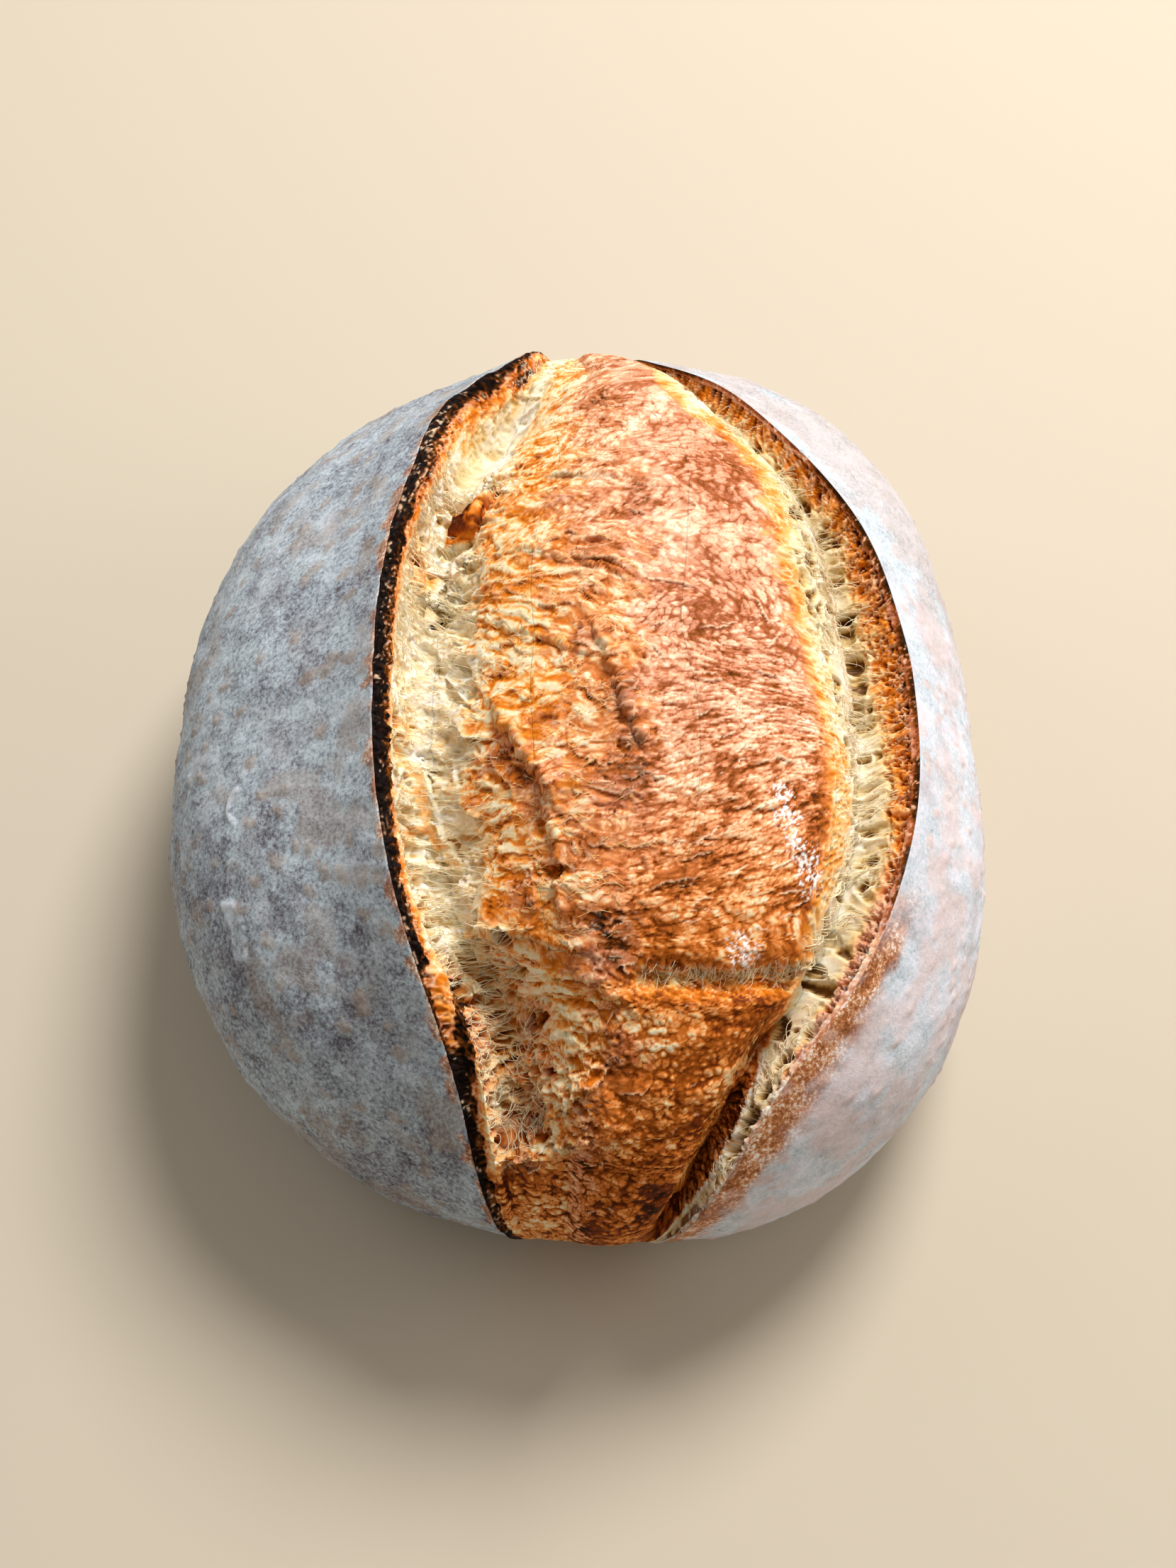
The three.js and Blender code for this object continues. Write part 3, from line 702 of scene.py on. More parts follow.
calmer = 1 - 0.3 * toward(-0.02, 0.1)  # lower blisters at the far end
risenCrust = {
    "layers": [
        (sheets, drawnOut, 50, (1.5, 4), (0.8, 2.2), (0.2, 0.4), 0.05, (-0.05, 0.06), 0.2),
        (blisters, drawnOut, 7.0, 1.7, 0.18, 0.26, 0.85, 70),
        (blisters, (skin - 0.7 * drawnOut) * calmer, 3.6, 2.8, 0.14, 0.22, 0.6, 72),
        (blisters, drawnOut, 3.2, 0.9, 0.1, 0.24, 0.8, 73),
        (blisters, (skin - 0.6 * drawnOut) * calmer, 2.2, 1.8, 0.13, 0.34, 0.8, 75),
        (blisters, skin * calmer, 1.4, 1.1, 0.07, 0.16, 0.7, 76),
        (sheets, risenZone, 110, (0.4, 1.3), (0.4, 1.0), (0.1, 0.2), 0.02, (-0.12, 0.06), 0.7),
    ],
    "edgeTint": -0.12,
    # across, along, half width, length, lift, turn of the thin edges that stand up
    "edges": [
        (0.53, -0.061, 3.2, 2.2, 0.9, 0.1),
        (0.645, -0.045, 3.6, 2.0, 0.8, -0.15),
        (0.445, -0.03, 5.5, 2.5, 0.8, -0.9),
        (0.65, 0.035, 5.0, 2.0, 0.7, -0.9),
        (0.672, -0.005, 4.0, 1.8, 0.7, -2.2),
        (0.47, 0.047, 7.5, 2.0, 0.7, 0.0),
        (0.525, 0.135, 4.0, 1.6, 0.5, -0.7),
        (0.482, -0.237, 6.5, 3.0, 0.9, 0.3),
        (0.653, -0.131, 3.0, 2.0, 0.8, -0.3),
        (0.536, -0.452, 4.0, 3.0, 0.9, 0.25),
        (0.42, 0.12, 3.0, 2.5, 0.8, -0.3),
        (0.56, 0.0, 4.0, 1.6, 0.4, 0.2),
    ],
    # across, along, reach in mm, added baking of the deep red patches
    "rosy": [
        (0.202, -0.122, 5, 0.22), (0.265, -0.151, 7, 0.16), (0.382, -0.161, 5, 0.16), (0.337, -0.021, 3.5, 0.14),
        (0.415, -0.068, 5, 0.16), (0.221, -0.264, 3.5, 0.14), (0.384, -0.318, 5, 0.16), (0.433, 0.13, 4.5, 0.2),
        (0.287, 0.152, 5, 0.1), (0.476, -0.41, 5, 0.14), (0.352, -0.515, 5, 0.16), (0.05, 0.395, 4, 0.3),
    ],
    # across, along, reach in mm, height of the scorched ridges along the crest
    "scorched": [
        (0.39, -0.045, 4, 0.6), (0.395, -0.08, 5, 0.9), (0.4, -0.115, 5.5, 1.1), (0.41, -0.15, 5, 0.9),
        (0.43, -0.38, 4, 0.8), (0.48, -0.42, 4.5, 0.8), (0.45, -0.47, 4, 0.7), (0.4, -0.49, 4.5, 0.7),
        (0.36, -0.525, 4.5, 0.8), (0.13, -0.6, 3, 0.7), (0.2, -0.592, 3.5, 0.8), (0.28, -0.58, 3, 0.7),
        (0.425, 0.15, 3, 0.4), (0.427, 0.13, 4, 0.5), (0.335, -0.01, 3.2, 0.7),
    ],
    # across, along, reach in mm of the flour left on it
    "flour": [
        (0.65, -0.165, 3.0), (0.665, -0.187, 3.5), (0.69, -0.21, 3.0), (0.725, -0.222, 3.5), (0.75, -0.242, 4.0),
        (0.65, -0.303, 4.0),
    ],
}
relief += 0.3 * risenZone * grain(8, 4, 71, 3)
addLayers(risenCrust["layers"])
addFlaps((*edge, risenCrust["edgeTint"]) for edge in risenCrust["edges"])

tearLine = tear["along"] + 0.004 * noise(xFlat / 2.5, yFlat * 0, 89) + 0.003 * noise(xFlat / 0.9, yFlat * 0, 90)
tearShare = tearReach * np.exp(-(((along - tearLine) / tear["width"]) ** 4))
web(tearShare, 2.4, 0.8, 1.0, 0.2, 0.2, 78)
for a in rng.uniform(tear["from"], tear["to"], tear["lips"]):
    place = gridPlace(a, tear["along"] + rng.normal(0.016, 0.003))
    addSheet(*place, rng.uniform(0.8, 2.2), 2, rng.uniform(0.6, 1.3), 0, rng.normal(0, 0.4), -0.1)

rosy, scorch, flour = (np.zeros(along.shape) for k in range(3))
for a, t, reach, added in risenCrust["rosy"]:
    window, u, v = around(*gridPlace(a, t), 2 * reach)
    ragged = 0.6 * noise(u / 1.8 + a * 90, v / 1.4, 42) + 0.4 * noise(u / 0.7, v / 0.5 + a * 90, 43)
    rosy[window] = np.maximum(rosy[window], added * smoothStep(1.3, 0.3, np.hypot(u, v) / reach + ragged))
for a, t, reach, height in risenCrust["scorched"]:
    window, u, v = around(*gridPlace(a, t), 2.2 * reach)
    patch = bell(u / (0.55 * reach)) * bell(v / reach)
    scorch[window] = np.maximum(scorch[window], patch)
    relief[window] += height * patch
for a, t, reach in risenCrust["flour"]:
    window, u, v = around(*gridPlace(a, t), 2 * reach)
    flour[window] = np.maximum(flour[window], bell(u / reach) * bell(v / reach))
scorch *= 0.6 + 0.7 * grain(1.1, 0.9, 79)

# charred ear and rim: porous, and rough on a larger scale
pores, poresNext, poreValue = cells(xFlat / 0.9, yFlat / 0.8, 81)
pore = smoothStep(0.02, 0.4, poresNext - pores) * poreValue
relief -= (0.6 * charZone + 0.12 * faceZone + 0.6 * wallZone + 0.5 * rimZone) * pore
relief += 0.45 * charZone * grain(2.2, 1.8, 82, 3)
addLayers([(web, wallZone, 3.4, 0.7, 1.1, 0.2, 0.3, 83), (web, wallZone, 1.6, 0.8, 0.5, 0.25, 0.3, 87)])
relief += (0.3 * rimZone + 0.2 * nearSkin) * grain(2.5, 2, 84, 3)
streaks = fibrous(3.5, 0.42, 85) + 0.6 * noise(xFlat / 1.6, yFibre / 0.3 + 9, 86)
streaked = flakeZone + crumbZone + creamZone + faceZone
relief += 0.025 * streaks * (streaked + drawnOut + 0.6 * grooveZone)

# a smooth pocket under the ear at the far end
hidden = {"along": (0.2, 0.26, 0.34, 0.39), "steps": (2.2, 3.2, 6, 7)}
pocket = between(along, *hidden["along"]) * between(step, *hidden["steps"])
relief *= 1 - 0.55 * pocket
lip *= (1 - 0.85 * pocket) * (1 - 0.25 * flakeZone - 0.3 * farTorn)
edgeFade = smoothStep(0, 0.6, xFlat - xFlat[:, :1]) * smoothStep(0, 0.6, xFlat[:, -1:] - xFlat)
relief *= edgeFade * openShare * (1 - 0.5 * flakeZone)
raised = relief - blur(relief, 1.6)
recess = np.clip(blur(relief, 1.2) - relief, 0, 1.4)
hollow = np.clip(blur(relief, 3.2) - relief, 0, 2)
lip *= mix(1, smoothStep(-0.15, 0.2, raised), np.clip(flakeZone + crumbZone + risenZone, 0, 1))
print("risen crust and rim")

baking = {
    # step of the section and how far it is baked there: 0 white crumb, 1 charred
    "section": [
        (0, 0.4), (1.6, 0.32), (2.2, 0.26), (2.8, 0.19), (3.6, 0.12), (4.4, 0.08), (5.2, 0.06), (6.2, 0.13),
        (6.9, 0.26), (7.6, 0.32), (8.5, 0.39), (9.0, 0.52), (9.6, 0.7), (10.6, 0.7), (11.1, 0.66), (11.3, 0.42),
        (11.8, 0.3), (12.3, 0.13), (13.2, 0.04), (14.6, 0.1), (15.0, 0.24), (15.3, 0.38), (15.7, 0.52),
        (16.1, 0.64), (16.5, 0.84), (17, 0.94),
    ],
    # added between two along values, and between these steps of the section
    "patches": [
        (0.16, 0.1, 0.22, (1.5, 2, 2.2, 3.2)),
        (0.24, 0.35, 0.4, (1, 2, 5, 6)),
        (-0.04, 0.08, 0.2, (6, 6.8, 7.4, 8.2)),
    ],
    # added in a zone, from one along value on to another
    "trends": [
        (0.13, risenZone, 0.1, -0.05),
        (0.08, risenZone, -0.1, -0.2),
        (0.03, risenZone, -0.12, -0.2),
        (-0.13, risenZone, -0.34, -0.4),
        (-0.05, risenZone, -0.05, 0.1),
        (0.08, risenZone, -0.58, -0.7),
        (-0.3, rimZone, -0.2, -0.34),
        (0.15, flakeZone, 0.02, 0.12),
        (0.28, crumbZone, -0.26, -0.38),
        # the groove's near end, which lies in shade, a little darker: painted shade
        (0.06, grooveZone, -0.36, -0.44),
        (0.06, smoothStep(7, 9, step) * (1 - smoothStep(15, 15.5, zoneStep)), -0.38, -0.62),
    ],
}
drift = 0.8 * grain(9, 6, 91) + 0.3 * fibrous(2.5, 1.5, 92)
bake = np.interp(zoneStep + between(step, 3, 5, 8.7, 9.4) * drift, *zip(*baking["section"]))
for added, start, full, window in baking["patches"]:
    bake += added * smoothStep(start, full, along) * between(step, *window)
bake = mix(bake, 0.05, pocket)
bake = np.where(zoneStep < 11.3, np.maximum(bake, 0.87 * nearSkin), bake)
for added, share, start, full in baking["trends"]:
    bake += added * share * smoothStep(start, full, along)

# mottled and streaked, darker beside the char, and darker in recesses as painted shade
mottle = mix(fibrous(5, 2.2, 93, 4), fractal(xSkin / 4, ySkin / 2.8, 90), farSkin)
broad = fibrous(14, 10, 94, 2)
lowTorn = toward(-0.08, -0.14) * toward(-0.37, -0.3) * between(step, 6.8, 7.8, 9, 9.4)
charGlow = np.exp(-np.maximum(0, step - charEnd) / (0.24 + 0.5 * np.abs(charWobble)))
mottled = flakeZone + mix(0.5, 0.9, farSkin) * risenZone + 0.9 * wallZone + 1.3 * creamZone + 1.2 * faceZone
bake += 0.03 * risenZone + 0.04 * wallZone + 0.16 * faceZone * onStrip + 0.17 * lowTorn
bake -= 0.2 * rimZone * smoothStep(-0.3, 0.4, noise(xFlat * 0 + 3, yFlat / 9, 64))
bake += mottle * (0.13 * mottled + 0.05 * (crumbZone + grooveZone))
bake += 0.12 * broad * (flakeZone + 0.8 * risenZone + 0.4 * wallZone + 0.5 * creamZone)
bake += (0.36 + 0.24 * toward(0.12, 0.2)) * faceZone * charGlow
bake += 0.16 * faceZone * toward(0.2, 0.3) * grain(0.8, 4, 45)
bake += tint * (flakeZone + crumbZone + skin)
# more baked colour in recesses: painted shade, strongest on the torn crust and the wall
bake += (0.5 * flakeZone + 0.08 * crumbZone + mix(0.3, 0.1, farSkin) * risenZone + 0.3 * wallZone) * recess
bake -= 0.07 * streaks * (streaked + 0.7 * drawnOut) * (1 - 0.8 * pocket)
bake += 0.25 * crumbZone * smoothStep(-0.52, -0.57, along - slant)
tearTop = smoothStep(-0.6, 0.5, (along - tearLine) / tear["width"])
bake = mix(bake, mix(0.46, 0.32, tearTop) + 0.2 * grain(0.6, 1.4, 88) - 0.1 * raised, tearShare)
bake = np.maximum(bake + rosy - 0.1 * nearTorn, 0.18 * flakeZone)
for limit, share in ((0.48, flakeZone), (0.64, risenZone)):  # softer above these
    bake = np.where(bake > limit, limit + (bake - limit) * mix(1, 0.45, share), bake)
bake = mix(bake, 0.7 + 0.16 * grain(0.7, 0.6, 44), np.clip(1.2 * scorch, 0, 1))
bake[curlWindow] = mix(bake[curlWindow], curlBake, curl)
lip[curlWindow] *= 1 - 0.8 * curl

flecks = grain(0.5, 0.7, 95) + 0.5 * grain(1.6, 4, 96)
burnt = 1.06 - 0.3 * smoothStep(0.1, 1.1, flecks + 0.9 * smoothStep(-1.1, -0.1, step - charEnd))
bake -= 0.25 * rimZone * smoothStep(0.2, 1.0, flecks)
lip = np.maximum(lip, 0.7 * rimZone * smoothStep(0.7, 1.1, flecks))
lip = np.maximum(lip * (1 - charZone), 0.75 * charZone * smoothStep(0.6, 1.1, flecks))
bake = np.clip(np.maximum(bake * (1 - charZone), burnt * charZone), 0, 1)

# 1 closed crust, 0 torn inside
crusty = np.maximum(np.maximum(skin * mix(0.25, 1, toward(-0.34, -0.04)), rimZone), charZone)
crusty += 0.4 * zone(8.2, 9.2, 0.3) + 0.08 * lowTorn + 0.4 * farTorn * smoothStep(7, 8.4, step)
crusty += wallZone * toward(-0.2, -0.32) + 3 * rosy - 0.5 * nearTorn - 0.5 * tearShare
crusty = np.clip(crusty, 0, 1)

# painted warm brown shade, in what is deep and over some zones as a whole: the tear, the pocket under the ear, the
# groove, the near crumb and the far cream band
depthShown = mix(0.22, 1, 0.6 * toward(-0.24, -0.38)) * crumbZone + 1.6 * grooveZone
depthShown += 0.1 * flakeZone + 0.4 * faceZone + 0.6 * creamZone
shade = (0.7 * recess + 0.45 * hollow) * np.clip(depthShown, 0, 2.2)
shade += 0.25 * creamZone * farSkin + 0.14 * grooveZone * farSkin + 0.4 * tearShare + 0.12 * nearCrumb
shade += 0.4 * pocket * (1 - smoothStep(4.2, 5.6, step))
shade += (0.14 + 0.34 * toward(-0.36, -0.5)) * grooveZone
shade = np.clip(shade * (0.8 + 0.5 * grain(4, 3, 97)), 0, 1)

grains = grain(0.55, 0.5, 98) + 0.5 * grain(0.3, 0.3, 99)
flour = smoothStep(0.9, 1.3, 1.2 * flour + grains) * smoothStep(0.15, 0.4, flour)
lowRim = np.clip(rimZone + smoothStep(15.3, 15.7, zoneStep), 0, 1) * toward(-0.2, -0.34)
flour = np.maximum(flour, 0.7 * lowRim * smoothStep(0.25, 0.65, grains))
print("bake done")

# closing walls: their first step inwards in mm, how far they lean, and the fields they show
walls = {"cut": (12, 0), "ear": (20, -0.14), "rim": (15, 0.14)}
wallFields = {"bake": 0.7, "thickAndLit": 0.5}


def gridPiece(name, places, inward, fields):
    # a bent grid, closed by walls that meet under the loaf
    rows, columns = places.shape[:2]
    bm = bmesh.new()
    bmesh.ops.create_grid(bm, x_segments=columns - 1, y_segments=rows - 1, size=1)
    mesh = bpy.data.meshes.new(name)
    bm.to_mesh(mesh)
    bm.free()
    flat = np.empty(len(mesh.vertices) * 3)
    mesh.vertices.foreach_get("co", flat)
    flat = flat.reshape(-1, 3)
    c = np.rint((flat[:, 0] + 1) / 2 * (columns - 1)).astype(int)
    r = np.rint((flat[:, 1] + 1) / 2 * (rows - 1)).astype(int)
    mesh.vertices.foreach_set("co", (places[r, c] * 0.001).ravel())

    bm = bmesh.new()
    bm.from_mesh(mesh)
    outline = [e for e in bm.edges if e.is_boundary]
    corners = {v for e in outline for v in e.verts}
    offsets = {tuple(round(x, 7) for x in v.co): inward[r[v.index], c[v.index]] for v in corners}
    wall = bmesh.ops.extrude_edge_only(bm, edges=outline)["geom"]
    for v in [g for g in wall if isinstance(g, bmesh.types.BMVert)]:
        v.co += Vector(offsets[tuple(round(x, 7) for x in v.co)] * 0.001)
    loop = [g for g in wall if isinstance(g, bmesh.types.BMEdge) and g.is_boundary]
    last = bmesh.ops.extrude_edge_only(bm, edges=loop)["geom"]
    tip = [g for g in last if isinstance(g, bmesh.types.BMVert)]
    bmesh.ops.pointmerge(bm, verts=tip, merge_co=(0, 0, 0))
    bm.to_mesh(mesh)
    bm.free()
    extra = len(mesh.vertices) - len(r)
    for fieldName, values in fields.items():
        ofWall = np.full(extra, wallFields.get(fieldName, 0))
        layer = mesh.attributes.new(fieldName, "FLOAT", "POINT")
        layer.data.foreach_set("value", np.concatenate([values[r, c], ofWall]).astype(np.float32))
    return addObject(name, mesh)


def addObject(name, mesh):
    mesh.polygons.foreach_set("use_smooth", np.ones(len(mesh.polygons), bool))
    obj = bpy.data.objects.new(name, mesh)
    bpy.context.collection.objects.link(obj)
    return obj


def wallsInward(places, normals, first, last):
    # the closing wall's first step: into the dough, or to the middle where the border lies on the base
    depth = np.full(places.shape[:2], float(walls["cut"][0]))
    flat = -places * np.array([1, 1, 0])
    flat = flat / np.maximum(1e-6, np.linalg.norm(flat, axis=-1, keepdims=True))
    upright = smoothStep(40, 60, places[..., 2])
    down = mix(-normals, np.array([0, 0, -1.0]), upright[..., None])
    for column, wall in ((0, first), (-1, last)):
        depth[:, column] = walls[wall][0]
        down[:, column, 0] += walls[wall][1] * upright[:, column]
    onBase = places[..., 2] < 0.01
    return np.where(onBase[..., None], flat * walls["cut"][0], down * depth[..., None])


overhang = 0.4  # how far raised lips lean to the near side, for each mm of height
finished = base + baseNormal * relief[..., None]
leaning = overhang * raised * (flakeZone + 0.7 * crumbZone + 0.5 * risenZone) * openShare
finished -= alongAxis * np.clip(leaning, -0.7, 1.2)[..., None]
pieces = {}
# the piece that starts at each step of the section: it ends on the floor of a hollow or on a crest
cuts = {
    "charredEar": 0, "tornCrumb": 5.1, "tornCrust": 7.7, "risenCrust": 9.6, "risenShoulder": 11.5, "rimGroove": 13.9,
}
columnsAt = [int(np.abs(steps - s).argmin()) for s in (*cuts.values(), 17)]
inward = wallsInward(finished, domeNormal(side, along), "ear", "rim")
fields = {"bake": bake, "lip": np.clip(lip * edgeFade, 0, 1), "crusty": crusty, "shade": shade, "flour": flour}
for name, start, stop in zip(cuts, columnsAt, columnsAt[1:]):
    part = np.s_[:, start : stop + 1]
    shown = {key: value[part] for key, value in fields.items()}
    pieces[name] = gridPiece(name, finished[part], inward[part], shown)
print("slash pieces", [len(p.data.polygons) for p in pieces.values()])

crustAlongs = alongSteps(0.8, 1.6)
leftCrust = {
    "edge": 0,  # the ear
    "columns": 212,
    "flare": (0.17, 2.2),  # reach and power of the sweep up to the edge
    "walls": ("cut", "ear"),
    "crescent": (-0.418, -0.165, 5.5, 0.8),  # side, along, radius, width of a raised mark
    "chip": (-0.413, -0.316, 2.6, 7.5),  # side, along, half width, half length of a lifted chip
    "band": (0.8, 0.001, 0.008),  # brown strip at the edge: strength, where it starts to fade, where it ends
    "flourThinned": 0.24,  # less flour, so darker, on the low near side where shade falls: painted shade
    "spots": (0.55, 0.36, 0.3, 0.9),  # strength of blisters and of patches, where patches start and are full
}
rightCrust = {
    "edge": 1,  # the rim
    "columns": 164,
    "flare": (0.1, 1.6),
    "walls": ("rim", "cut"),
    "band": (1, 0.03, 0.075),
    "bandAlong": (-0.34, -0.24),  # it ends between these
    "flourThinned": 0.45,  # flour missing towards the far end
    "spots": (0.5, 0.42, 0.5, 1.5),
}


def shellMarks(x, y):
    s0, t0, radius, width = leftCrust["crescent"]
    u, v = x - acrossMm(s0) - 3.5, y - alongMm(t0)
    ring = bell((np.hypot(u, v) - radius) / width) * smoothStep(-1, -3, u)
    s0, t0, half, long = leftCrust["chip"]
    u, v = turned(x - acrossMm(s0), y - alongMm(t0), 0.2)
    u = u + 0.25 * np.abs(v) + 0.5 * noise(x / 2, y / 2, 61)
    reach = np.maximum(np.abs(u) / half, np.abs(v) / long)
    return np.maximum(1.1 * ring, 0.45 * smoothStep(1.1, 0.9, reach) + 0.55 * bell((reach - 0.95) / 0.16))


def crustPiece(name, spec):
    # a floured shell, from the slash's edge over the loaf's side to the base
    left = spec is leftCrust
    edge = edgeAt(spec["edge"], crustAlongs)
    f = np.linspace(0, 1, spec["columns"])
    f = f - 0.02 * np.sin(2 * pi * f)
    t = np.repeat(crustAlongs[:, None], spec["columns"], 1)
    s = mix(-1, edge[:, None], f) if left else mix(edge[:, None], 1, f)
    x, y = acrossMm(s), alongMm(t)
    away = np.abs(s - edge[:, None])
    reach, power = spec["flare"]
    edgeHeight = sectionAt(np.array([0.0 if left else 17.0]), crustAlongs)[1]
    marked = shellMarks(x, y) if left else 0
    if left:
        edgeHeight = edgeHeight + raggedEdge(alongMm(crustAlongs)[:, None])
    flare = edgeHeight * np.maximum(0, 1 - away / reach) ** power * between(t, *slash["open"])
    swell = 0.9 * noise(x / 30, y / 30, 1)
    fine = 0.25 * fractal(x / 9, y / 9, 91) + 0.05 * fractal(x / 1.8, y / 1.8, 92)
    f1, _, value = cells(x / 5.5, y / 5, 93)
    blister = 0.45 * (value > 0.75) * np.clip(1 - f1 * 2.4, 0, 1) ** 1.5 + 0.5 * marked
    low = (swell + blister) * smoothStep(0, 0.1, away) + fine * smoothStep(0, 0.02, away)
    places = placesOf(s, t, flare + low * (1 - smoothStep(0.8, 1, np.maximum(np.abs(s), np.abs(t)))))
    onEdge = (np.abs(s) == 1) | (np.abs(t) == 1)
    places = np.where(onEdge[..., None], domePoint(s, t), places)
    ruffled = away + 0.015 * noise(x / 3, y / 3, 94)
    patches = fractal(x / 11, y / 11, 96, 3)
    strength, *fading = spec["band"]
    band = strength * (1 - smoothStep(*fading, ruffled))
    # the left shell keeps only its marks and the right shell has full flour, so the right is whiter: partly flour,
    # partly painted light on the lit right side and painted shade on the left
    if left:
        thickAndLit = marked - spec["flourThinned"] * smoothStep(-0.12, -0.4, t)
    else:
        band = band * (1 - smoothStep(*spec["bandAlong"], t))
        thickAndLit = 1 - spec["flourThinned"] * smoothStep(0.05, 0.3, t)
        patches = patches + 0.9 * smoothStep(0.03, 0.1, away) + 0.7 * smoothStep(0.02, 0.25, t)
    blisterShare, patchShare, start, full = spec["spots"]
    spots = (value > 0.8) * smoothStep(0.5, 0.25, f1 + 0.25 * noise(x / 1.5, y / 1.5, 95))
    spots = np.maximum(blisterShare * spots, patchShare * smoothStep(start, full, patches))
    inwards = wallsInward(places, domeNormal(s, t), *spec["walls"])
    return gridPiece(name, places, inwards, {"band": band, "thickAndLit": thickAndLit, "spots": spots})


pieces["leftCrust"] = crustPiece("leftCrust", leftCrust)
pieces["rightCrust"] = crustPiece("rightCrust", rightCrust)
print("crust pieces", [len(pieces[n].data.polygons) for n in ("leftCrust", "rightCrust")])

# strings of dough across the openings: count, reach across and along in mm, thickness in mm
crumbFibres = {"count": 2600, "across": (1.5, 6), "along": (-1.6, 0.8), "thickness": 0.12}
crustFibres = {"count": 500, "across": (0.6, 2.4), "along": (-1.2, 0.2), "thickness": 0.12}
tearStrings = {"count": 150, "bundles": 40, "from": 0.44, "to": 0.86, "length": 4.2, "thickness": 0.11}


def strandPoints(row, column, a, b, count=6):
    row2 = int(np.clip(row + b / rowGap[row, column], 0, len(alongs) - 1))
    inner = int(np.abs(steps - 2.4).argmin())  # strands stay off the ear
    column2 = int(np.clip(column + a / columnGap[row, column], inner, columnCount - 1))
    start, end = finished[row, column], finished[row2, column2]
    f = np.linspace(0, 1, count)[:, None]
    bulge = 0.18 * np.linalg.norm(end - start) * 4 * f * (1 - f)
    wiggle = rng.normal(0, 0.06, (count, 3)) * np.minimum(f, 1 - f) * 2
    return start + (end - start) * f + baseNormal[row, column] * (bulge - 0.05) + wiggle


def strandPiece(name, paths, thickness):
    curve = bpy.data.curves.new(name, "CURVE")
    curve.dimensions, curve.bevel_depth, curve.bevel_resolution = "3D", thickness * 0.001, 0
    curve.use_fill_caps = True
    for path in paths:
        spline = curve.splines.new("POLY")
        spline.points.add(len(path) - 1)
        spline.points.foreach_set("co", np.c_[path * 0.001, np.ones(len(path))].ravel())
        spline.points.foreach_set("radius", 0.45 + 0.55 * np.abs(np.linspace(-1, 1, len(path))) ** 1.5)
    temporary = bpy.data.objects.new(name, curve)
    bpy.context.collection.objects.link(temporary)
    mesh = bpy.data.meshes.new_from_object(temporary.evaluated_get(bpy.context.evaluated_depsgraph_get()))
    bpy.data.objects.remove(temporary)
    mesh.name = name
    return addObject(name, mesh)


crustShare = flakeZone * (1 - np.clip(2 * scorch, 0, 1)) * (along > -0.3)
fibres = {"crumbFibres": (crumbFibres, crumbZone + 0.8 * grooveZone), "crustFibres": (crustFibres, crustShare)}
for name, (spec, weight) in fibres.items():
    weight = weight * np.clip(lip - 0.3, 0, 1) * openShare * (along > -0.7) * (along < 0.45)
    paths = []
    for row, column in zip(*scatter(weight, spec["count"])):
        a, b = rng.uniform(*spec["across"]) * rng.choice([-1, 1]), rng.uniform(*spec["along"])
        if alongs[row] < -0.35:
            a, b = rng.normal(0, 1.6, 2)  # no direction rules at the near end
        path = strandPoints(row, column, a, b - a * shear[row, column])
        if np.linalg.norm(path[-1] - path[0]) < 1.4 * spec["across"][1]:
            paths.append(path)
    pieces[name] = strandPiece(name, paths, spec["thickness"])

paths = []
spots = rng.choice(rng.uniform(tearStrings["from"], tearStrings["to"], tearStrings["bundles"]), tearStrings["count"])
for a in spots + rng.normal(0, 0.012, tearStrings["count"]):
    place = gridPlace(a, tear["along"] + rng.normal(0.013, 0.003))
    paths.append(strandPoints(*place, rng.normal(0, 1.0), -tearStrings["length"] * rng.uniform(0.25, 1)))
pieces["tearStrings"] = strandPiece("tearStrings", paths, tearStrings["thickness"])
print("strings", [len(pieces[n].data.polygons) for n in ("crumbFibres", "crustFibres", "tearStrings")])

# centre the loaf as the solid is, and keep it inside its box
everything = np.concatenate([np.array([v.co for v in p.data.vertices]) for p in pieces.values()])
low, high = everything.min(0), everything.max(0)
centre = (low + high) / 2
cadLow, cadHigh = np.array(cadBox[0]), np.array(cadBox[1])
fit = np.minimum(1, (cadHigh - cadLow) / (high - low))
print("box", low, high, "fit", fit)
for piece in pieces.values():
    co = np.empty(len(piece.data.vertices) * 3)
    piece.data.vertices.foreach_get("co", co)
    co = (co.reshape(-1, 3) - [centre[0], centre[1], 0]) * fit
    piece.data.vertices.foreach_set("co", co.ravel())
    piece.data.update()


def linear(hexColour):
    channels = [int(hexColour[i : i + 2], 16) / 255 for i in (1, 3, 5)]
    return (*[c / 12.92 if c <= 0.04045 else ((c + 0.055) / 1.055) ** 2.4 for c in channels], 1)


def addNode(tree, kind, inputs=(), out=0, stops=(), **settings):
    # one node with its settings; inputs, by name or in order, are values or other nodes' sockets
    node = tree.nodes.new("ShaderNode" + kind)
    for key, value in settings.items():
        setattr(node, key, value)
    for key, value in inputs.items() if isinstance(inputs, dict) else enumerate(inputs):
        if isinstance(value, bpy.types.NodeSocket):
            tree.links.new(value, node.inputs[key])
        else:
            node.inputs[key].default_value = value
    for k in range(2, len(stops)):
        node.color_ramp.elements.new(0.5)
    for k, (position, colour) in enumerate(stops):
        node.color_ramp.elements[k].position = position
        node.color_ramp.elements[k].color = linear(colour)
    return node.outputs[out] if len(node.outputs) else node


def newMaterial(name):
    material = bpy.data.materials.new(name)
    material.use_nodes = True
    material.node_tree.nodes.clear()
    return material, material.node_tree


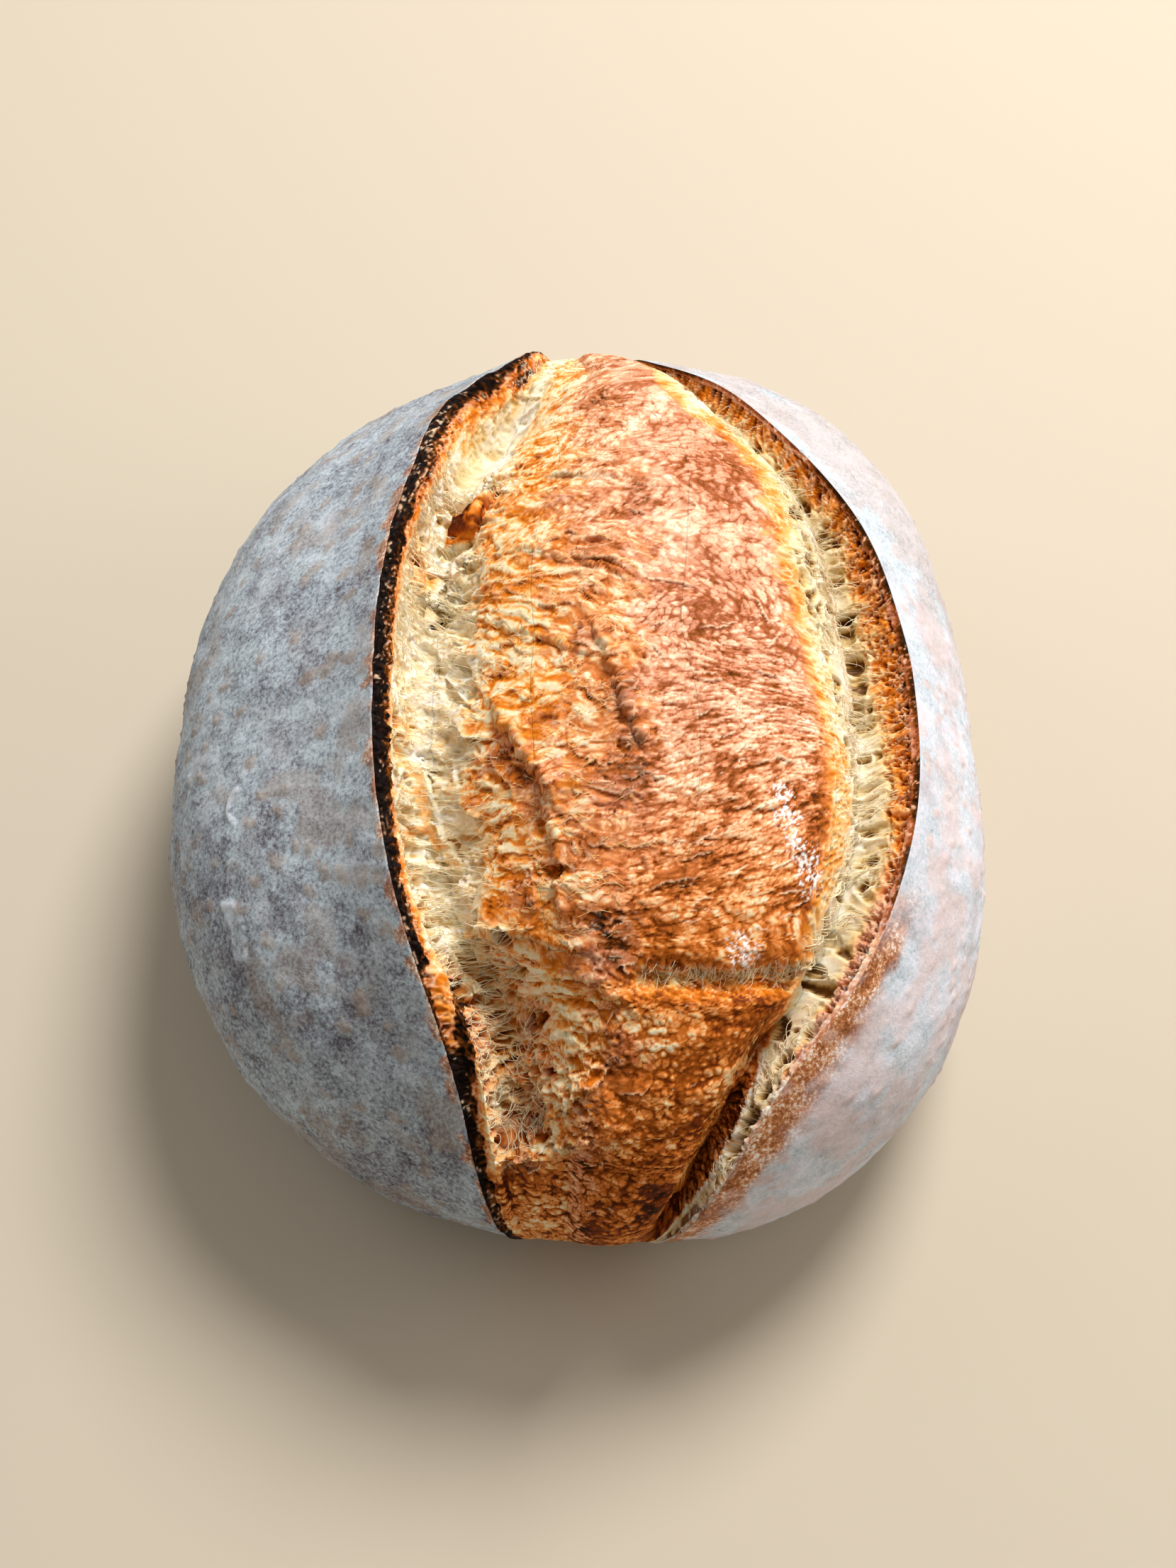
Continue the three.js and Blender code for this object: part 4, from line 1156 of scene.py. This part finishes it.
doughLook = {
    "grain": 1.111,  # mm
    "torn": [
        (0.0, "#f2f1ec"), (0.08, "#f0ebd8"), (0.18, "#eedeb6"), (0.3, "#f1c382"), (0.42, "#eca150"),
        (0.54, "#dd7c16"), (0.66, "#ba6510"), (0.78, "#7a300a"), (0.9, "#341608"), (1.0, "#0c0604"),
    ],
    "crust": [
        (0.0, "#f6ead8"), (0.15, "#efd6b8"), (0.3, "#e6ba9a"), (0.42, "#dca283"), (0.54, "#ca8765"),
        (0.64, "#ae6442"), (0.72, "#8c4a18"), (0.79, "#5e3305"), (0.88, "#3c1d08"), (1.0, "#0d0807"),
    ],
    # colours of the painted warm shade, multiplied in by the shade field
    "hollow": [(0.0, "#ffffff"), (0.4, "#e2cfa6"), (0.7, "#ba955a"), (1.0, "#70481c")],
    "lip": "#fcebcd",
    "flour": "#f4f1ee",
    "shader": {
        "Roughness": 0.55,
        "Specular IOR Level": 0.05,
        "Subsurface Weight": 0.5,
        "Subsurface Radius": (1, 0.7, 0.45),
        "Subsurface Scale": 0.0012,
    },
}


def makeDough():
    # torn wheat dough, baked in place: matt crumb, with a faint sheen all over
    material, tree = newMaterial("baked wheat dough")
    sockets = {"Vector": addNode(tree, "TexCoord", out="Object"), "Scale": round(1000 / doughLook["grain"])}
    fine = addNode(tree, "TexNoise", {**sockets, "Detail": 3, "Roughness": 0.6})
    names = ("bake", "lip", "crusty", "shade", "flour")
    fields = {name: addNode(tree, "Attribute", out="Fac", attribute_name=name) for name in names}
    ruffled = addNode(tree, "Math", (fine, 0.2, -0.1), operation="MULTIPLY_ADD")
    level = addNode(tree, "Math", (fields["bake"], ruffled), operation="ADD")
    level = addNode(tree, "Math", (fields["lip"], -0.12, level), operation="MULTIPLY_ADD", use_clamp=True)
    torn, crust = (addNode(tree, "ValToRGB", (level,), stops=doughLook[key]) for key in ("torn", "crust"))
    hollow = addNode(tree, "ValToRGB", (fields["shade"],), stops=doughLook["hollow"])
    pale = addNode(tree, "Math", (fields["lip"], 0.7), operation="MULTIPLY")
    # the hollow ramp multiplies the painted shade into the colour
    mixes = [
        (fields["crusty"], crust, "MIX"),
        (1.0, hollow, "MULTIPLY"),
        (pale, linear(doughLook["lip"]), "MIX"),
        (fields["flour"], linear(doughLook["flour"]), "MIX"),
    ]
    colour = torn
    for fac, other, blend in mixes:
        sockets = {0: fac, 6: colour, 7: other}
        colour = addNode(tree, "Mix", sockets, 2, data_type="RGBA", blend_type=blend)
    bump = addNode(tree, "Bump", {"Strength": 0.35, "Distance": 0.0003, "Height": fine})
    shader = addNode(tree, "BsdfPrincipled", {"Base Color": colour, "Normal": bump, **doughLook["shader"]})
    addNode(tree, "OutputMaterial", (shader,))
    return material


stringLook = {"Roughness": 0.5, "Specular IOR Level": 0.1, "Subsurface Weight": 0.3, "Subsurface Scale": 0.0005}


def makeString(name, colour):
    # single threads of dried dough: thin enough to let some light through, and a little shiny
    material, tree = newMaterial(name)
    shader = addNode(tree, "BsdfPrincipled", {"Base Color": linear(colour), **stringLook})
    addNode(tree, "OutputMaterial", (shader,))
    return material


flouredLook = {
    # size in mm, detail and roughness of each pattern
    "noises": {"large": (25, 3, 0.55), "mid": (6.667, 4, 0.65), "grain": (0.909, 3, 0.75), "mauve": (11.765, 3, 0.6)},
    "flour": [
        (0.0, "#4e4c55"), (0.2, "#7c7e89"), (0.4, "#a0acb8"), (0.6, "#bccad4"), (0.8, "#ccd4e0"), (1.0, "#dddfec"),
    ],
    "band": [(0.3, "#6d3a1c"), (0.48, "#b06c3c"), (0.58, "#d9a377"), (0.68, "#f2ece6")],
    "range": (0.73, 1.4),  # flour amounts that look bare and thickest
    "mauve": "#cbb0ab",
    "spots": ("#a28f80", "#d6b4aa"),  # on thin and on thick flour, so darker on the left shell and lighter on the right, partly painted shade and light
}


def makeFlouredCrust():
    # thin hard crust under rice flour: chalky, bluish where the flour is thick, brown where it is rubbed off; the
    # thicker, whiter flour on the right shell than on the left stands partly for painted light and shade
    material, tree = newMaterial("floured bread crust")
    coords = addNode(tree, "TexCoord", out="Object")
    noises = {}
    for name, (size, detail, roughness) in flouredLook["noises"].items():
        sockets = {"Vector": coords, "Scale": round(1000 / size), "Detail": detail, "Roughness": roughness}
        noises[name] = addNode(tree, "TexNoise", sockets)
    names = ("thickAndLit", "band", "spots")
    fields = {name: addNode(tree, "Attribute", out="Fac", attribute_name=name) for name in names}
    amount = addNode(tree, "Math", (noises["large"], 0.36), operation="MULTIPLY")
    for source, share in ((noises["mid"], 0.7), (noises["grain"], 1.0), (fields["thickAndLit"], 0.24)):
        amount = addNode(tree, "Math", (source, share, amount), operation="MULTIPLY_ADD")
    low, high = flouredLook["range"]
    level = addNode(tree, "MapRange", {"Value": amount, "From Min": low, "From Max": high})
    flour = addNode(tree, "ValToRGB", (level,), stops=flouredLook["flour"])
    ruffled = addNode(tree, "Math", (noises["mid"], 0.8, -0.4), operation="MULTIPLY_ADD")
    ruffled = addNode(tree, "Math", (noises["grain"], ruffled), operation="ADD")
    brown = addNode(tree, "ValToRGB", (ruffled,), stops=flouredLook["band"])
    mauve = addNode(tree, "MapRange", {"Value": noises["mauve"], "From Min": 0.48, "From Max": 0.75, "To Max": 0.5})
    thin, thickAndLit = (linear(colour) for colour in flouredLook["spots"])
    spot = addNode(tree, "Mix", {0: fields["thickAndLit"], 6: thin, 7: thickAndLit}, 2, data_type="RGBA")
    mixes = [
        (fields["band"], brown, "MIX"),
        (mauve, linear(flouredLook["mauve"]), "MULTIPLY"),
        (fields["spots"], spot, "MIX"),
    ]
    colour = flour
    for fac, other, blend in mixes:
        colour = addNode(tree, "Mix", {0: fac, 6: colour, 7: other}, 2, data_type="RGBA", blend_type=blend)
    bump = addNode(tree, "Bump", {"Strength": 0.35, "Distance": 0.0004, "Height": amount})
    sockets = {"Base Color": colour, "Roughness": 0.85, "Specular IOR Level": 0.25, "Normal": bump}
    addNode(tree, "OutputMaterial", (addNode(tree, "BsdfPrincipled", sockets),))
    return material


crumbThread = makeString("dried crumb thread", "#f4e6c6")
crustThread = makeString("browned dough thread", "#f0c27c")
floured, dough = makeFlouredCrust(), makeDough()
surfaces = {"leftCrust": floured, "rightCrust": floured}
surfaces.update(crumbFibres=crumbThread, crustFibres=crustThread, tearStrings=crumbThread)
for name, piece in pieces.items():
    piece.data.materials.append(surfaces.get(name, dough))
    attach(piece, "root")
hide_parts("sourdough_loaf")
print("materials done")

studio = {
    "floor": "#c6bcab",
    "world": ("#f1e8da", 0.38),
    # place, size, power, colour
    "lights": {
        "window": ((0.42, 0.72, 1.16), 0.6, 24, "#fffbf6"),
        "fill": ((-1.1, 0.5, 1.0), 0.9, 2.5, "#eef2ff"),
        "right": ((1.3, 0.1, 0.6), 0.8, 4.6, "#fff6f0"),
    },
    "camera": {"elevation": radians(62), "distance": 0.5, "lens": 50, "target": (0.001, -0.0065, 0.045)},
}


def makeFloor():
    bm = bmesh.new()
    bmesh.ops.create_grid(bm, x_segments=1, y_segments=1, size=3)
    mesh = bpy.data.meshes.new("floor")
    bm.to_mesh(mesh)
    bm.free()
    floor = bpy.data.objects.new("floor", mesh)
    bpy.context.collection.objects.link(floor)
    material, tree = newMaterial("pale matt paper")  # spreads the light evenly, without a gleam
    shader = addNode(tree, "BsdfPrincipled", {"Base Color": linear(studio["floor"]), "Roughness": 0.9})
    addNode(tree, "OutputMaterial", (shader,))
    mesh.materials.append(material)


def addLight(name, place, size, power, colour):
    light = bpy.data.lights.new(name, "AREA")
    light.shape, light.size, light.energy, light.color = "DISK", size, power, linear(colour)[:3]
    lamp = bpy.data.objects.new(name, light)
    lamp.location = place
    lamp.rotation_euler = (Vector((0, 0, 0.05)) - Vector(place)).to_track_quat("-Z", "Y").to_euler()
    bpy.context.collection.objects.link(lamp)


makeFloor()
for name, spec in studio["lights"].items():
    addLight(name, *spec)
world = bpy.data.worlds.new("studio")
world.use_nodes = True
background = world.node_tree.nodes["Background"].inputs
background["Color"].default_value, background["Strength"].default_value = linear(studio["world"][0]), studio["world"][1]
bpy.context.scene.world = world

view = studio["camera"]
cameraData = bpy.data.cameras.new("camera")
cameraData.sensor_fit, cameraData.sensor_height, cameraData.lens = "VERTICAL", 36, view["lens"]
camera = bpy.data.objects.new("camera", cameraData)
e = view["elevation"]
target = Vector(view["target"]) - Vector((centre[0], centre[1], 0))
camera.location = target + Vector((0, -cos(e), sin(e))) * view["distance"]
camera.rotation_euler = (pi / 2 - e, 0, 0)
bpy.context.collection.objects.link(camera)
bpy.context.scene.camera = camera
bpy.context.scene.view_settings.view_transform = "Standard"
